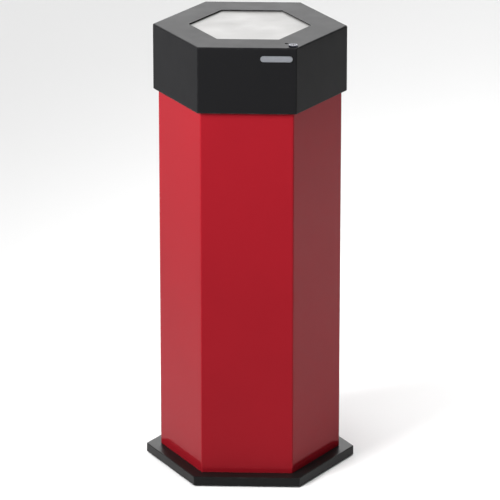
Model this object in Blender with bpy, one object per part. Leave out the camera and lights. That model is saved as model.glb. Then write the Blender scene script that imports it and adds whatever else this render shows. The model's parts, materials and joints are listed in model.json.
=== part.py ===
"""Six-sided dog waste bin: plinth, sheet column, hinged hood with a sprung flap, cam lock, lift-out liner.

Metres, +Z up. The origin is on the ground under the middle of the plinth, and the front faces -Y.
"""

import math

import bmesh
import bpy
from mathutils import Vector

# Overall sizes
TOTAL_HEIGHT = 0.900
PLINTH_ACROSS_FLATS = 0.362
SEAT_GAP = 0.0003  # left between pieces that touch
CUT_OVERRUN = 0.002  # how far a cutter passes the face it opens

# Plinth and mat
PLINTH_MARGIN = 0.025  # beyond the column on each side
PLINTH_THICKNESS = 0.018
PLINTH_CORNER = 0.003
PLINTH_CHAMFER = 0.0015
MAT_THICKNESS = 0.002
MAT_INSET = 0.008
ANCHOR_HOLE = 0.012
ANCHOR_CIRCLE = 0.140
ANCHOR_COUNT = 3

# Column
COLUMN_SHEET = 0.002
COLUMN_CORNER = 0.004
COLUMN_TOP_FLANGE = 0.018
COLUMN_FOOT_FLANGE = 0.020
FLANGE_CORNER = 0.002

# Foot bolts
BOLT_SHANK = 0.008
BOLT_HEAD_FLATS = 0.013
BOLT_HEAD_HEIGHT = 0.0055
BOLT_WASHER_EDGE = 0.0015  # flange left beside the washer
BOLT_WASHER_THICKNESS = 0.0016
BOLT_BITE = 0.013  # depth in the plinth
BOLT_CLEARANCE = 0.0004  # round the shank, on the radius

# Hood
HOOD_CLEARANCE = 0.0075  # between column and skirt
HOOD_SHEET = 0.0015
HOOD_CORNER = 0.004
HOOD_EDGE = 0.003  # bend between skirt and top
HOOD_SKIRT = 0.132
HOOD_OVERLAP = 0.047  # column inside the skirt
HOOD_RIM = 0.0615  # from the skirt's outside to the opening
OPENING_CORNER = 0.0015
RELEASE_HOLE = 0.008
RELEASE_FROM_LOCK = (-0.013, 0.018)
BADGE_SIZE = (0.062, 0.012)
BADGE_THICKNESS = 0.001
BADGE_RIGHT = 0.057  # middle of the plate, right of the middle of the face
BADGE_DROP = 0.0215  # middle of the plate, below the hood's top

# Hood seats and buffers
BUFFER_DIAMETER = 0.014
BUFFER_HEIGHT = 0.012
BUFFER_CHAMFER = 0.0015
SEAT_SHEET = 0.002
SEAT_LENGTH = 0.050
SEAT_LEG = 0.025
SEAT_FACES = {"right": -30, "left": -150}  # direction that each face looks, degrees

# Hood hinge
HINGE_WIDTH = 0.150
HINGE_LEAF = 0.003
HINGE_LEAF_HEIGHT = 0.042
HINGE_KNUCKLE = 0.012
HINGE_MIDDLE = 0.070
HINGE_PIN = 0.006
HINGE_PIN_CLEARANCE = 0.0003
HINGE_DROP = 0.004  # axis below the skirt
HINGE_STRUT = 0.004
HINGE_STOP = (0.024, 0.004)  # width and thickness of the stop on the middle knuckle
HOOD_SWING = 100  # degrees
HINGE_RUN = 0.001  # running gap beside and above the knuckles
PIN_HEAD = 0.009
PIN_HEAD_HEIGHT = 0.002
RIVET_SHANK = 0.0046
RIVET_HEAD = 0.009
RIVET_HEAD_HEIGHT = 0.0018
RIVET_CLEARANCE = 0.0003
HINGE_RIVET_SPAN = 0.090

# Lock
LOCK_FROM_CORNER = 0.0068  # left of the hood's front right corner
LOCK_FROM_FRONT = 0.016
LOCK_HEAD = 0.018
LOCK_HEAD_HEIGHT = 0.0028
LOCK_HEAD_CHAMFER = 0.0008
LOCK_BARREL = 0.0145
LOCK_BARREL_LENGTH = 0.0215
LOCK_CYLINDER = 0.0095
LOCK_RUN = 0.00025  # running gap round the cylinder, on the radius
LOCK_NUT_FLATS = 0.019
LOCK_NUT_HEIGHT = 0.004
KEY_SLOT = (0.0013, 0.0062)
KEY_SLOT_DEPTH = 0.003
CAM_LENGTH = 0.032
CAM_WIDTH = 0.012
CAM_THICKNESS = 0.0025
CAM_STUB = 0.006
CAM_NUT_FLATS = 0.010
CAM_NUT_HEIGHT = 0.004
KEEPER_SHEET = 0.0025
KEEPER_FRONT = 0.022  # from the lock's axis back to the keeper
KEEPER_WIDTH = 0.014
KEEPER_TONGUE = 0.007
KEEPER_FOOT = 0.005
KEEPER_SIDE = 0.002
KEEPER_OVER_CAM = 0.0008

# Flap
SEAL_SETBACK = 0.001
SEAL_WIDTH = 0.006
SEAL_THICKNESS = 0.001
FLAP_LAP = 0.008  # flap beyond the opening on each side
FLAP_SHEET = 0.002
FLAP_CHAMFER = 0.0004
FLAP_AXIS_BACK = 0.006
FLAP_AXIS_DROP = 0.010
FLAP_SWING = 60  # degrees
FLAP_PIN = 0.005
FLAP_PIN_CLEARANCE = 0.00025
EAR_SHEET = 0.002
EAR_EYE = 0.012
EAR_SPREAD = 0.080  # between the middles of the two ears
EAR_FOOT = (0.016, 0.022)
EAR_INSET = 0.004  # foot from the flap's back edge
BRACKET_FOOT = (0.016, 0.024)
BRACKET_SETBACK = 0.004  # bracket foot from the flap's back edge
BRACKET_RUN = 0.001
RING_DIAMETER = 0.009
RING_THICKNESS = 0.001

# Flap springs
SPRING_WIRE = 0.0015
SPRING_CLEARANCE = 0.0008
SPRING_TURNS = 5
SPRING_PITCH = 0.0021
SPRING_FRONT_LEG = 0.030
SPRING_REAR_LEG = 0.025
SPRING_SPREAD = 0.052
POINTS_PER_TURN = 9

# Liner and bail
LINER_SHEET = 0.0012
LINER_CLEARANCE = 0.004  # between liner and foot flange
LINER_CORNER = 0.006
LINER_RIM = 0.004
LINER_RIM_HEIGHT = 0.008
LINER_HEADROOM = 0.012  # under the open flap
BAIL_ROD = 0.006
BAIL_CLEARANCE = 0.0006
BAIL_STUB = 0.004  # beyond the ear
BAIL_ROUNDING = 0.014
BAIL_END_ROUNDING = 0.0045
BAIL_KNEE_INSET = 0.008
BAIL_BAR_INSET = 0.014
GRIP_LENGTH = 0.080
GRIP_DIAMETER = 0.018
GRIP_CHAMFER = 0.002
GRIP_ROOM = 0.012  # straight bar beyond each end of the grip
BAIL_EAR = (0.024, 0.026)  # width, and depth below the rim
BAIL_EAR_SHEET = 0.002
BAIL_EAR_TOP = 0.008  # above the pivot
EAR_RIVET_SPAN = 0.014
EAR_RIVET_DROP = 0.017
EAR_RIVET_SHANK = 0.0036
EAR_RIVET_HEAD = 0.007
EAR_RIVET_HEAD_HEIGHT = 0.0012

# Roundness
BEND_STEPS = 3
ROUND_SIDES = 24
FASTENER_SIDES = 12
ARC_STEPS = 6
SMOOTH_ANGLE = 35

# Half widths, from the middle to a flat
plinth_half = PLINTH_ACROSS_FLATS / 2
column_half = plinth_half - PLINTH_MARGIN
hood_half = column_half + HOOD_CLEARANCE + HOOD_SHEET
hood_inside = hood_half - HOOD_SHEET
opening_half = hood_half - HOOD_RIM
flap_half = opening_half + FLAP_LAP
liner_half = column_half - COLUMN_SHEET - COLUMN_FOOT_FLANGE - LINER_CLEARANCE
liner_inside = liner_half - LINER_SHEET
HALF_SIDE = 1 / math.sqrt(3)  # half the side of a hexagon, for a half width of one

# Levels
plinth_bottom = MAT_THICKNESS + SEAT_GAP
plinth_top = plinth_bottom + PLINTH_THICKNESS
column_bottom = plinth_top + SEAT_GAP
skirt_bottom = TOTAL_HEIGHT - HOOD_SKIRT
column_top = skirt_bottom + HOOD_OVERLAP
hood_under = TOTAL_HEIGHT - HOOD_SHEET
seal_top = hood_under - SEAT_GAP
flap_top = seal_top - SEAL_THICKNESS - SEAT_GAP
flap_under = flap_top - FLAP_SHEET

# Joint axes
hinge_point = Vector((0, hood_half + HINGE_KNUCKLE / 2, skirt_bottom - HINGE_DROP))
flap_point = Vector((0, flap_half + FLAP_AXIS_BACK, flap_under - FLAP_AXIS_DROP))
lock_point = Vector((hood_half * HALF_SIDE - LOCK_FROM_CORNER, LOCK_FROM_FRONT - hood_half, TOTAL_HEIGHT))
flap_reach = FLAP_AXIS_BACK + 2 * flap_half
flap_dip = flap_reach * math.sin(math.radians(FLAP_SWING))
liner_top = flap_point.z - flap_dip - LINER_HEADROOM - GRIP_DIAMETER - SEAT_GAP
bail_point = Vector((0, 0, liner_top + GRIP_DIAMETER / 2 + SEAT_GAP))

for old in list(bpy.data.objects):
    bpy.data.objects.remove(old, do_unlink=True)


# Finishes

def finish(name, colour, roughness, metallic):
    """A plain Principled material."""
    material = bpy.data.materials.new(name)
    material.use_nodes = True
    shader = material.node_tree.nodes["Principled BSDF"]
    shader.inputs["Base Color"].default_value = (*colour, 1.0)
    shader.inputs["Roughness"].default_value = roughness
    shader.inputs["Metallic"].default_value = metallic
    return material


red_coat = finish("red_coat", (0.42, 0.022, 0.030), 0.22, 0.0)
black_coat = finish("black_coat", (0.018, 0.018, 0.019), 0.38, 0.0)
black_rubber = finish("black_rubber", (0.015, 0.015, 0.015), 0.80, 0.0)
satin_steel = finish("satin_steel", (0.72, 0.71, 0.69), 0.35, 1.0)
zinc_steel = finish("zinc_steel", (0.55, 0.56, 0.57), 0.45, 1.0)
chrome = finish("chrome", (0.82, 0.82, 0.83), 0.12, 1.0)
spring_steel = finish("spring_steel", (0.40, 0.40, 0.41), 0.35, 1.0)
pale_alloy = finish("pale_alloy", (0.62, 0.64, 0.68), 0.40, 1.0)
black_plastic = finish("black_plastic", (0.020, 0.020, 0.020), 0.50, 0.0)


# Outlines and meshes

def hexagon(half, bend, level):
    """Level six-sided outline with rounded corners and flats at the front and back."""
    points = []
    reach = (half - bend) / math.cos(math.radians(30))
    for corner in range(6):
        middle = math.radians(60 * corner)
        for step in range(BEND_STEPS + 1):
            turn = middle + math.radians(60 * step / BEND_STEPS - 30)
            x = reach * math.cos(middle) + bend * math.cos(turn)
            y = reach * math.sin(middle) + bend * math.sin(turn)
            points.append((x, y, level))
    return points


def along_axis(axis, place, first, second):
    """A point at a place along an axis, with its two other coordinates in x, y, z order."""
    if axis == "x":
        return (place, first, second)
    if axis == "y":
        return (first, place, second)
    return (first, second, place)


def ring(radius, place, axis, sides, flats=0):
    """Round outline about an axis or, with six flats, a nut's outline of that half width."""
    points = []
    for side in range(sides):
        turn = 2 * math.pi * side / sides
        reach = radius
        if flats:
            sector = 2 * math.pi / flats
            reach = radius / math.cos(turn % sector - sector / 2)
        points.append(along_axis(axis, place, reach * math.cos(turn), reach * math.sin(turn)))
    return points


def skin(mesh, loops, closed):
    """Faces from each loop to the next. Closed loops join last to first, open ones get flat ends."""
    rows = [[mesh.verts.new(point) for point in loop] for loop in loops]
    pairs = list(zip(rows, rows[1:]))
    if closed:
        pairs.append((rows[-1], rows[0]))
    for near, far in pairs:
        for index in range(len(near)):
            following = (index + 1) % len(near)
            mesh.faces.new((near[index], near[following], far[following], far[index]))
    if not closed:
        mesh.faces.new(rows[0])
        mesh.faces.new(rows[-1])
    bmesh.ops.recalc_face_normals(mesh, faces=mesh.faces)
    return mesh


def hexagonal(profile, closed):
    """Six-sided body from (half width, corner radius, level) rows."""
    return skin(bmesh.new(), [hexagon(*row) for row in profile], closed)


def turned(profile, axis="z", closed=False, sides=ROUND_SIDES):
    """Round body from (radius, place) rows, where a third value of 6 makes a row a nut's outline."""
    loops = []
    for row in profile:
        flats = row[2] if len(row) > 2 else 0
        loops.append(ring(row[0], row[1], axis, sides, flats))
    return skin(bmesh.new(), loops, closed)


def extruded(outline, low, high, axis):
    """Flat outline carried along an axis from low to high."""
    loops = [[along_axis(axis, place, *point) for point in outline] for place in (low, high)]
    return skin(bmesh.new(), loops, closed=False)


def rods(radius, low, high, axis, places, sides=ROUND_SIDES):
    """Several parallel round bars in one mesh, as a cutter. Places are offsets from the axis."""
    mesh = bmesh.new()
    for place in places:
        loops = []
        for end in (low, high):
            loops.append([Vector(point) + Vector(place) for point in ring(radius, end, axis, sides)])
        skin(mesh, loops, closed=False)
    return mesh


def arc(middle, radius, start, end, steps=ARC_STEPS):
    """Points of a flat arc, angles in degrees."""
    points = []
    for step in range(steps + 1):
        turn = math.radians(start + (end - start) * step / steps)
        points.append((middle[0] + radius * math.cos(turn), middle[1] + radius * math.sin(turn)))
    return points


def rectangle(left, right, low, high):
    return [(left, low), (right, low), (right, high), (left, high)]


def rounded_path(corners, radii):
    """Points along straight runs joined by arcs, with one radius for each inner corner."""
    points = [Vector(corners[0])]
    for before, corner, after, radius in zip(corners, corners[1:], corners[2:], radii):
        corner = Vector(corner)
        back = (Vector(before) - corner).normalized()
        ahead = (Vector(after) - corner).normalized()
        half_angle = back.angle(ahead) / 2
        middle = corner + (back + ahead).normalized() * (radius / math.sin(half_angle))
        first = corner + back * (radius / math.tan(half_angle)) - middle
        last = corner + ahead * (radius / math.tan(half_angle)) - middle
        for step in range(ARC_STEPS + 1):
            points.append(middle + first.slerp(last, step / ARC_STEPS).normalized() * radius)
    points.append(Vector(corners[-1]))
    return points


# Objects

def world_place(obj):
    """Where an object stands, for parents that are moved but not turned."""
    place = Vector(obj.location)
    while obj.parent:
        obj = obj.parent
        place += obj.location
    return place


def stand(obj, place, parent):
    """Links an object at a place in the world, carried by its parent."""
    bpy.context.scene.collection.objects.link(obj)
    obj.location = place
    if parent:
        obj.location = Vector(place) - world_place(parent)
        obj.parent = parent


def axis_empty(name, place, parent=None):
    """Empty on a joint's axis, which carries the moving pieces."""
    empty = bpy.data.objects.new(name, None)
    stand(empty, place, parent)
    return empty


def mesh_object(name, mesh):
    data = bpy.data.meshes.new(name)
    mesh.to_mesh(data)
    mesh.free()
    data.shade_smooth()
    data.set_sharp_from_angle(angle=math.radians(SMOOTH_ANGLE))
    return bpy.data.objects.new(name, data)


def piece(name, mesh, material, place=(0, 0, 0), parent=None):
    """One sub-part."""
    obj = mesh_object(name, mesh)
    obj.data.materials.append(material)
    stand(obj, place, parent)
    return obj


def shape(target, mesh, operation):
    """Cuts a shape from a piece, or joins one to it, in the piece's own frame."""
    helper = mesh_object(f"{target.name}_{operation.lower()}_{len(target.modifiers)}", mesh)
    bpy.context.scene.collection.objects.link(helper)
    helper.parent = target
    helper.hide_render = True
    helper.display_type = "WIRE"
    boolean = target.modifiers.new(operation.title(), "BOOLEAN")
    boolean.operation = operation
    boolean.object = helper


def wire(name, points, diameter, sides_step, material, place, parent):
    """Round wire along points, with flat ends."""
    curve = bpy.data.curves.new(name, "CURVE")
    curve.dimensions = "3D"
    curve.bevel_depth = diameter / 2
    curve.bevel_resolution = sides_step
    curve.use_fill_caps = True
    spline = curve.splines.new("POLY")
    spline.points.add(len(points) - 1)
    for slot, point in zip(spline.points, points):
        slot.co = (*point, 1.0)
    curve.materials.append(material)
    obj = bpy.data.objects.new(name, curve)
    stand(obj, place, parent)
    return obj


def rivet(name, grip, shank, head, head_height, axis, place, parent):
    """Rivet whose outer head is on the positive side of its axis and whose grip ends at zero."""
    inner = -grip - SEAT_GAP
    profile = [
        (head / 2, inner - head_height),
        (head / 2, inner),
        (shank / 2, inner),
        (shank / 2, SEAT_GAP),
        (head / 2, SEAT_GAP),
        (head / 2 * 0.8, SEAT_GAP + head_height * 0.8),
        (head / 2 * 0.45, SEAT_GAP + head_height),
    ]
    return piece(name, turned(profile, axis, sides=FASTENER_SIDES), zinc_steel, place, parent)


# Plinth and mat

def around(count, reach, start):
    """Places on a circle about the middle, first angle in degrees."""
    places = []
    for index in range(count):
        turn = math.radians(start + 360 * index / count)
        places.append((reach * math.cos(turn), reach * math.sin(turn), 0))
    return places


anchor_places = around(ANCHOR_COUNT, ANCHOR_CIRCLE / 2, 90)
bolt_reach = column_half - COLUMN_SHEET - COLUMN_FOOT_FLANGE / 2
bolt_places = around(6, bolt_reach, -90)

mat_half = plinth_half - MAT_INSET
base_mat = piece(
    "base_mat",
    hexagonal([(mat_half, PLINTH_CORNER, 0), (mat_half, PLINTH_CORNER, MAT_THICKNESS)], closed=False),
    black_rubber,
)
mat_through = (-CUT_OVERRUN, MAT_THICKNESS + CUT_OVERRUN, "z")
shape(base_mat, rods(ANCHOR_HOLE / 2, *mat_through, anchor_places), "DIFFERENCE")

plinth = piece(
    "plinth",
    hexagonal(
        [
            (plinth_half, PLINTH_CORNER, 0),
            (plinth_half, PLINTH_CORNER, PLINTH_THICKNESS - PLINTH_CHAMFER),
            (plinth_half - PLINTH_CHAMFER, PLINTH_CORNER - PLINTH_CHAMFER, PLINTH_THICKNESS),
        ],
        closed=False,
    ),
    black_coat,
    (0, 0, plinth_bottom),
)
plinth_through = (-CUT_OVERRUN, PLINTH_THICKNESS + CUT_OVERRUN, "z")
shape(plinth, rods(ANCHOR_HOLE / 2, *plinth_through, anchor_places), "DIFFERENCE")
shape(plinth, rods(BOLT_SHANK / 2 + SEAT_GAP, *plinth_through, bolt_places, FASTENER_SIDES), "DIFFERENCE")


# Column

column_height = column_top - column_bottom
column_inside = column_half - COLUMN_SHEET
top_flange_edge = column_half - COLUMN_TOP_FLANGE
foot_flange_edge = column_inside - COLUMN_FOOT_FLANGE
column_inner_corner = COLUMN_CORNER - COLUMN_SHEET

column_shell = piece(
    "column_shell",
    hexagonal(
        [
            (column_half, COLUMN_CORNER, 0),
            (column_half, COLUMN_CORNER, column_height),
            (top_flange_edge, FLANGE_CORNER, column_height),
            (top_flange_edge, FLANGE_CORNER, column_height - COLUMN_SHEET),
            (column_inside, column_inner_corner, column_height - COLUMN_SHEET),
            (column_inside, column_inner_corner, COLUMN_SHEET),
            (foot_flange_edge, FLANGE_CORNER, COLUMN_SHEET),
            (foot_flange_edge, FLANGE_CORNER, 0),
        ],
        closed=True,
    ),
    red_coat,
    (0, 0, column_bottom),
)
bolt_hole = BOLT_SHANK / 2 + BOLT_CLEARANCE
shape(
    column_shell,
    rods(bolt_hole, -CUT_OVERRUN, COLUMN_SHEET + CUT_OVERRUN, "z", bolt_places, FASTENER_SIDES),
    "DIFFERENCE",
)

washer_radius = COLUMN_FOOT_FLANGE / 2 - BOLT_WASHER_EDGE
bolt_depth = COLUMN_SHEET + 2 * SEAT_GAP + BOLT_BITE
bolt_seat = column_bottom + COLUMN_SHEET + SEAT_GAP
for number, (x, y, _) in enumerate(bolt_places, start=1):
    profile = [
        (BOLT_SHANK / 2, -bolt_depth),
        (BOLT_SHANK / 2, 0),
        (washer_radius, 0),
        (washer_radius, BOLT_WASHER_THICKNESS),
        (BOLT_HEAD_FLATS / 2, BOLT_WASHER_THICKNESS, 6),
        (BOLT_HEAD_FLATS / 2, BOLT_WASHER_THICKNESS + BOLT_HEAD_HEIGHT, 6),
    ]
    piece(f"foot_bolt_{number}", turned(profile, sides=FASTENER_SIDES), zinc_steel, (x, y, bolt_seat))


# Hood

hood_axis = axis_empty("hood_axis", hinge_point)
edge_levels = arc((hood_half - HOOD_EDGE, HOOD_SKIRT - HOOD_EDGE), HOOD_EDGE, 0, 90, BEND_STEPS)
inner_bend = HOOD_EDGE - HOOD_SHEET
inner_levels = arc((hood_half - HOOD_EDGE, HOOD_SKIRT - HOOD_EDGE), inner_bend, 90, 0, BEND_STEPS)
hood_profile = [(hood_half, HOOD_CORNER, 0)]
for half, level in edge_levels:
    hood_profile.append((half, HOOD_CORNER - (hood_half - half), level))
hood_profile.append((opening_half, OPENING_CORNER, HOOD_SKIRT))
hood_profile.append((opening_half, OPENING_CORNER, HOOD_SKIRT - HOOD_SHEET))
for half, level in inner_levels:
    hood_profile.append((half, HOOD_CORNER - (hood_half - half), level))
hood_profile.append((hood_inside, HOOD_CORNER - HOOD_SHEET, 0))

hood_shell = piece(
    "hood_shell", hexagonal(hood_profile, closed=True), black_coat, (0, 0, skirt_bottom), hood_axis
)
top_cut = (HOOD_SKIRT - HOOD_SHEET - CUT_OVERRUN, HOOD_SKIRT + CUT_OVERRUN, "z")
lock_hole = (lock_point.x, lock_point.y, 0)
release_hole = (lock_point.x + RELEASE_FROM_LOCK[0], lock_point.y + RELEASE_FROM_LOCK[1], 0)
shape(hood_shell, rods(LOCK_BARREL / 2 + SEAT_GAP, *top_cut, [lock_hole]), "DIFFERENCE")
shape(hood_shell, rods(RELEASE_HOLE / 2, *top_cut, [release_hole]), "DIFFERENCE")

badge_end = BADGE_SIZE[1] / 2
badge_run = BADGE_SIZE[0] / 2 - badge_end
badge_outline = arc((badge_run, 0), badge_end, -90, 90) + arc((-badge_run, 0), badge_end, 90, 270)
piece(
    "badge_plate",
    extruded(badge_outline, -BADGE_THICKNESS, 0, "y"),
    pale_alloy,
    (BADGE_RIGHT, -hood_half - SEAT_GAP, TOTAL_HEIGHT - BADGE_DROP),
    hood_axis,
)


# Hood seats and buffers

buffer_reach = column_half - COLUMN_TOP_FLANGE / 2
seat_level = column_top + BUFFER_HEIGHT + 2 * SEAT_GAP
seat_outer = hood_inside - SEAT_GAP
seat_inner = buffer_reach - BUFFER_DIAMETER / 2
seat_outline = [
    (seat_inner, 0),
    (seat_outer, 0),
    (seat_outer, SEAT_LEG),
    (seat_outer - SEAT_SHEET, SEAT_LEG),
    (seat_outer - SEAT_SHEET, SEAT_SHEET),
    (seat_inner, SEAT_SHEET),
]
buffer_radius = BUFFER_DIAMETER / 2
buffer_profile = [
    (buffer_radius - BUFFER_CHAMFER, 0),
    (buffer_radius, BUFFER_CHAMFER),
    (buffer_radius, BUFFER_HEIGHT - BUFFER_CHAMFER),
    (buffer_radius - BUFFER_CHAMFER, BUFFER_HEIGHT),
]
for side, face in SEAT_FACES.items():
    turn = math.radians(face)
    seat = piece(
        f"hood_seat_{side}",
        extruded(seat_outline, -SEAT_LENGTH / 2, SEAT_LENGTH / 2, "y"),
        black_coat,
        (0, 0, seat_level),
        hood_axis,
    )
    seat.rotation_euler.z = turn
    place = (buffer_reach * math.cos(turn), buffer_reach * math.sin(turn), column_top + SEAT_GAP)
    piece(f"seat_buffer_{side}", turned(buffer_profile), black_rubber, place)


# Hood hinge

knuckle = HINGE_KNUCKLE / 2
side_knuckle = (HINGE_MIDDLE / 2 + HINGE_RUN, HINGE_WIDTH / 2)
leaf_low = knuckle + HINGE_RUN
leaf_near = SEAT_GAP - knuckle  # leaf face on the hood, from the axis
neck_inset = HINGE_LEAF / 10  # neck inside the leaf's faces
rivet_places = [(-HINGE_RIVET_SPAN / 2, 0, 0), (HINGE_RIVET_SPAN / 2, 0, 0)]
hood_rivet_level = leaf_low + HINGE_LEAF_HEIGHT / 2
pin_bore = rods(HINGE_PIN / 2 + HINGE_PIN_CLEARANCE, -HINGE_WIDTH, HINGE_WIDTH, "x", [(0, 0, 0)])

hood_leaf = piece(
    "hood_hinge_leaf",
    extruded(
        rectangle(leaf_near, leaf_near + HINGE_LEAF, leaf_low, leaf_low + HINGE_LEAF_HEIGHT),
        -HINGE_WIDTH / 2,
        HINGE_WIDTH / 2,
        "x",
    ),
    black_coat,
    hinge_point,
    hood_axis,
)
middle_span = (-HINGE_MIDDLE / 2, HINGE_MIDDLE / 2)
neck = rectangle(leaf_near + neck_inset, leaf_near + HINGE_LEAF - neck_inset, 0, leaf_low + HINGE_LEAF)
shape(hood_leaf, extruded(neck, middle_span[0] + neck_inset, middle_span[1] - neck_inset, "x"), "UNION")
shape(hood_leaf, turned([(knuckle, middle_span[0]), (knuckle, middle_span[1])], "x"), "UNION")
column_near = column_half + SEAT_GAP - hinge_point.y  # leaf face on the column, from the axis
stop_reach = -column_near - HINGE_LEAF - 2 * SEAT_GAP
stop_turn = math.radians(180 + HOOD_SWING)
stop_way = Vector((math.cos(stop_turn), math.sin(stop_turn)))
stop_side = Vector((-stop_way.y, stop_way.x)) * (HINGE_STOP[1] / 2)
stop_end = stop_way * stop_reach
stop_outline = [-stop_side, stop_end - stop_side, stop_end + stop_side, stop_side]
shape(hood_leaf, extruded(stop_outline, -HINGE_STOP[0] / 2, HINGE_STOP[0] / 2, "x"), "UNION")
shape(hood_leaf, pin_bore.copy(), "DIFFERENCE")

column_leaf_high = HINGE_DROP - HINGE_RUN
column_leaf_low = column_leaf_high - HINGE_LEAF_HEIGHT
column_rivet_level = (column_leaf_high + column_leaf_low) / 2
column_leaf = piece(
    "column_hinge_leaf",
    extruded(
        rectangle(column_near, column_near + HINGE_LEAF, column_leaf_low, column_leaf_high),
        -HINGE_WIDTH / 2,
        HINGE_WIDTH / 2,
        "x",
    ),
    red_coat,
    hinge_point,
)
strut_foot = Vector((column_near + HINGE_LEAF / 2, -knuckle / 2))
strut_side = Vector((-strut_foot.y, strut_foot.x)).normalized() * (HINGE_STRUT / 2)
strut = [strut_foot - strut_side, -strut_side, strut_side, strut_foot + strut_side]
for side in (-1, 1):
    span = sorted((side * side_knuckle[0], side * side_knuckle[1]))
    shape(column_leaf, extruded(strut, span[0] + neck_inset, span[1] - neck_inset, "x"), "UNION")
    shape(column_leaf, turned([(knuckle, span[0]), (knuckle, span[1])], "x"), "UNION")
shape(column_leaf, pin_bore, "DIFFERENCE")

pin_end = HINGE_WIDTH / 2 + SEAT_GAP
pin_profile = [
    (PIN_HEAD / 2, -pin_end - PIN_HEAD_HEIGHT),
    (PIN_HEAD / 2, -pin_end),
    (HINGE_PIN / 2, -pin_end),
    (HINGE_PIN / 2, pin_end),
    (PIN_HEAD / 2, pin_end),
    (PIN_HEAD / 2, pin_end + PIN_HEAD_HEIGHT),
]
piece("hinge_pin", turned(pin_profile, "x"), zinc_steel, hinge_point)

rivet_hole = RIVET_SHANK / 2 + RIVET_CLEARANCE
for leaf, level, half, sheet, shell, label, carrier in (
    (hood_leaf, hood_rivet_level, hood_half, HOOD_SHEET, hood_shell, "hood", hood_axis),
    (column_leaf, column_rivet_level, column_half, COLUMN_SHEET, column_shell, "column", None),
):
    middle = hinge_point + Vector((0, 0, level))
    for target in (leaf, shell):
        offset = middle - world_place(target)
        places = [Vector((x, 0, offset.z)) for x, _, _ in rivet_places]
        face = half - world_place(target).y
        hole = (face - sheet - CUT_OVERRUN, face + HINGE_LEAF + CUT_OVERRUN)
        shape(target, rods(rivet_hole, *hole, "y", places, FASTENER_SIDES), "DIFFERENCE")
    outside = half + SEAT_GAP + HINGE_LEAF
    for number, (x, _, _) in enumerate(rivet_places, start=1):
        rivet(
            f"{label}_hinge_rivet_{number}",
            sheet + SEAT_GAP + HINGE_LEAF,
            RIVET_SHANK,
            RIVET_HEAD,
            RIVET_HEAD_HEIGHT,
            "y",
            (x, outside, middle.z),
            carrier,
        )


# Lock

lock_axis = axis_empty("lock_axis", lock_point, hood_axis)
head_radius = LOCK_HEAD / 2
barrel_radius = LOCK_BARREL / 2
cylinder_radius = LOCK_CYLINDER / 2
bore_radius = cylinder_radius + LOCK_RUN
head_top = SEAT_GAP + LOCK_HEAD_HEIGHT
housing_profile = [
    (bore_radius, head_top),
    (head_radius - LOCK_HEAD_CHAMFER, head_top),
    (head_radius, head_top - LOCK_HEAD_CHAMFER),
    (head_radius, SEAT_GAP),
    (barrel_radius, SEAT_GAP),
    (barrel_radius, -LOCK_BARREL_LENGTH),
    (bore_radius, -LOCK_BARREL_LENGTH),
]
piece("lock_housing", turned(housing_profile, closed=True), chrome, lock_point, hood_axis)


def nut_profile(flats, hole, high, height):
    """Rows of a nut whose top is at a level."""
    return [(flats / 2, high, 6), (flats / 2, high - height, 6), (hole, high - height), (hole, high)]


nut_top = -HOOD_SHEET - SEAT_GAP
lock_nut = nut_profile(LOCK_NUT_FLATS, barrel_radius + SEAT_GAP, nut_top, LOCK_NUT_HEIGHT)
piece("lock_nut", turned(lock_nut, closed=True), zinc_steel, lock_point, hood_axis)

shoulder = -LOCK_BARREL_LENGTH - SEAT_GAP
cam_top = shoulder - SEAT_GAP
cam_bottom = cam_top - CAM_THICKNESS
stub_end = cam_bottom - SEAT_GAP - CAM_NUT_HEIGHT
cylinder_profile = [
    (cylinder_radius, head_top - SEAT_GAP),
    (cylinder_radius, shoulder),
    (CAM_STUB / 2, shoulder),
    (CAM_STUB / 2, stub_end),
]
lock_cylinder = piece("lock_cylinder", turned(cylinder_profile), chrome, lock_point, lock_axis)
slot_outline = rectangle(-KEY_SLOT[0] / 2, KEY_SLOT[0] / 2, -KEY_SLOT[1] / 2, KEY_SLOT[1] / 2)
slot_levels = (head_top - SEAT_GAP - KEY_SLOT_DEPTH, head_top + CUT_OVERRUN)
shape(lock_cylinder, extruded(slot_outline, *slot_levels, "z"), "DIFFERENCE")

cam_end = CAM_WIDTH / 2
cam_outline = arc((0, 0), cam_end, -90, 90) + arc((cam_end - CAM_LENGTH, 0), cam_end, 90, 270)
cam_plate = extruded(cam_outline, cam_bottom, cam_top, "z")
lock_cam = piece("lock_cam", cam_plate, zinc_steel, lock_point, lock_axis)
cam_hole = rods(CAM_STUB / 2 + SEAT_GAP, cam_bottom - CUT_OVERRUN, cam_top + CUT_OVERRUN, "z", [(0, 0, 0)])
shape(lock_cam, cam_hole, "DIFFERENCE")
cam_nut = nut_profile(CAM_NUT_FLATS, CAM_STUB / 2 + SEAT_GAP, cam_bottom - SEAT_GAP, CAM_NUT_HEIGHT)
piece("cam_nut", turned(cam_nut, closed=True), zinc_steel, lock_point, lock_axis)

keeper_base = column_top + SEAT_GAP - TOTAL_HEIGHT
tongue_low = cam_top + KEEPER_OVER_CAM
tongue_high = tongue_low + KEEPER_SHEET
riser_near = CAM_WIDTH / 2 + KEEPER_SIDE
riser_far = riser_near + KEEPER_SHEET
keeper_outline = [
    (riser_near, keeper_base),
    (riser_far + KEEPER_FOOT, keeper_base),
    (riser_far + KEEPER_FOOT, keeper_base + KEEPER_SHEET),
    (riser_far, keeper_base + KEEPER_SHEET),
    (riser_far, tongue_high),
    (riser_near - KEEPER_TONGUE, tongue_high),
    (riser_near - KEEPER_TONGUE, tongue_low),
    (riser_near, tongue_low),
]
keeper = extruded(keeper_outline, KEEPER_FRONT, KEEPER_FRONT + KEEPER_WIDTH, "y")
piece("lock_keeper", keeper, zinc_steel, lock_point)


# Flap

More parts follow.
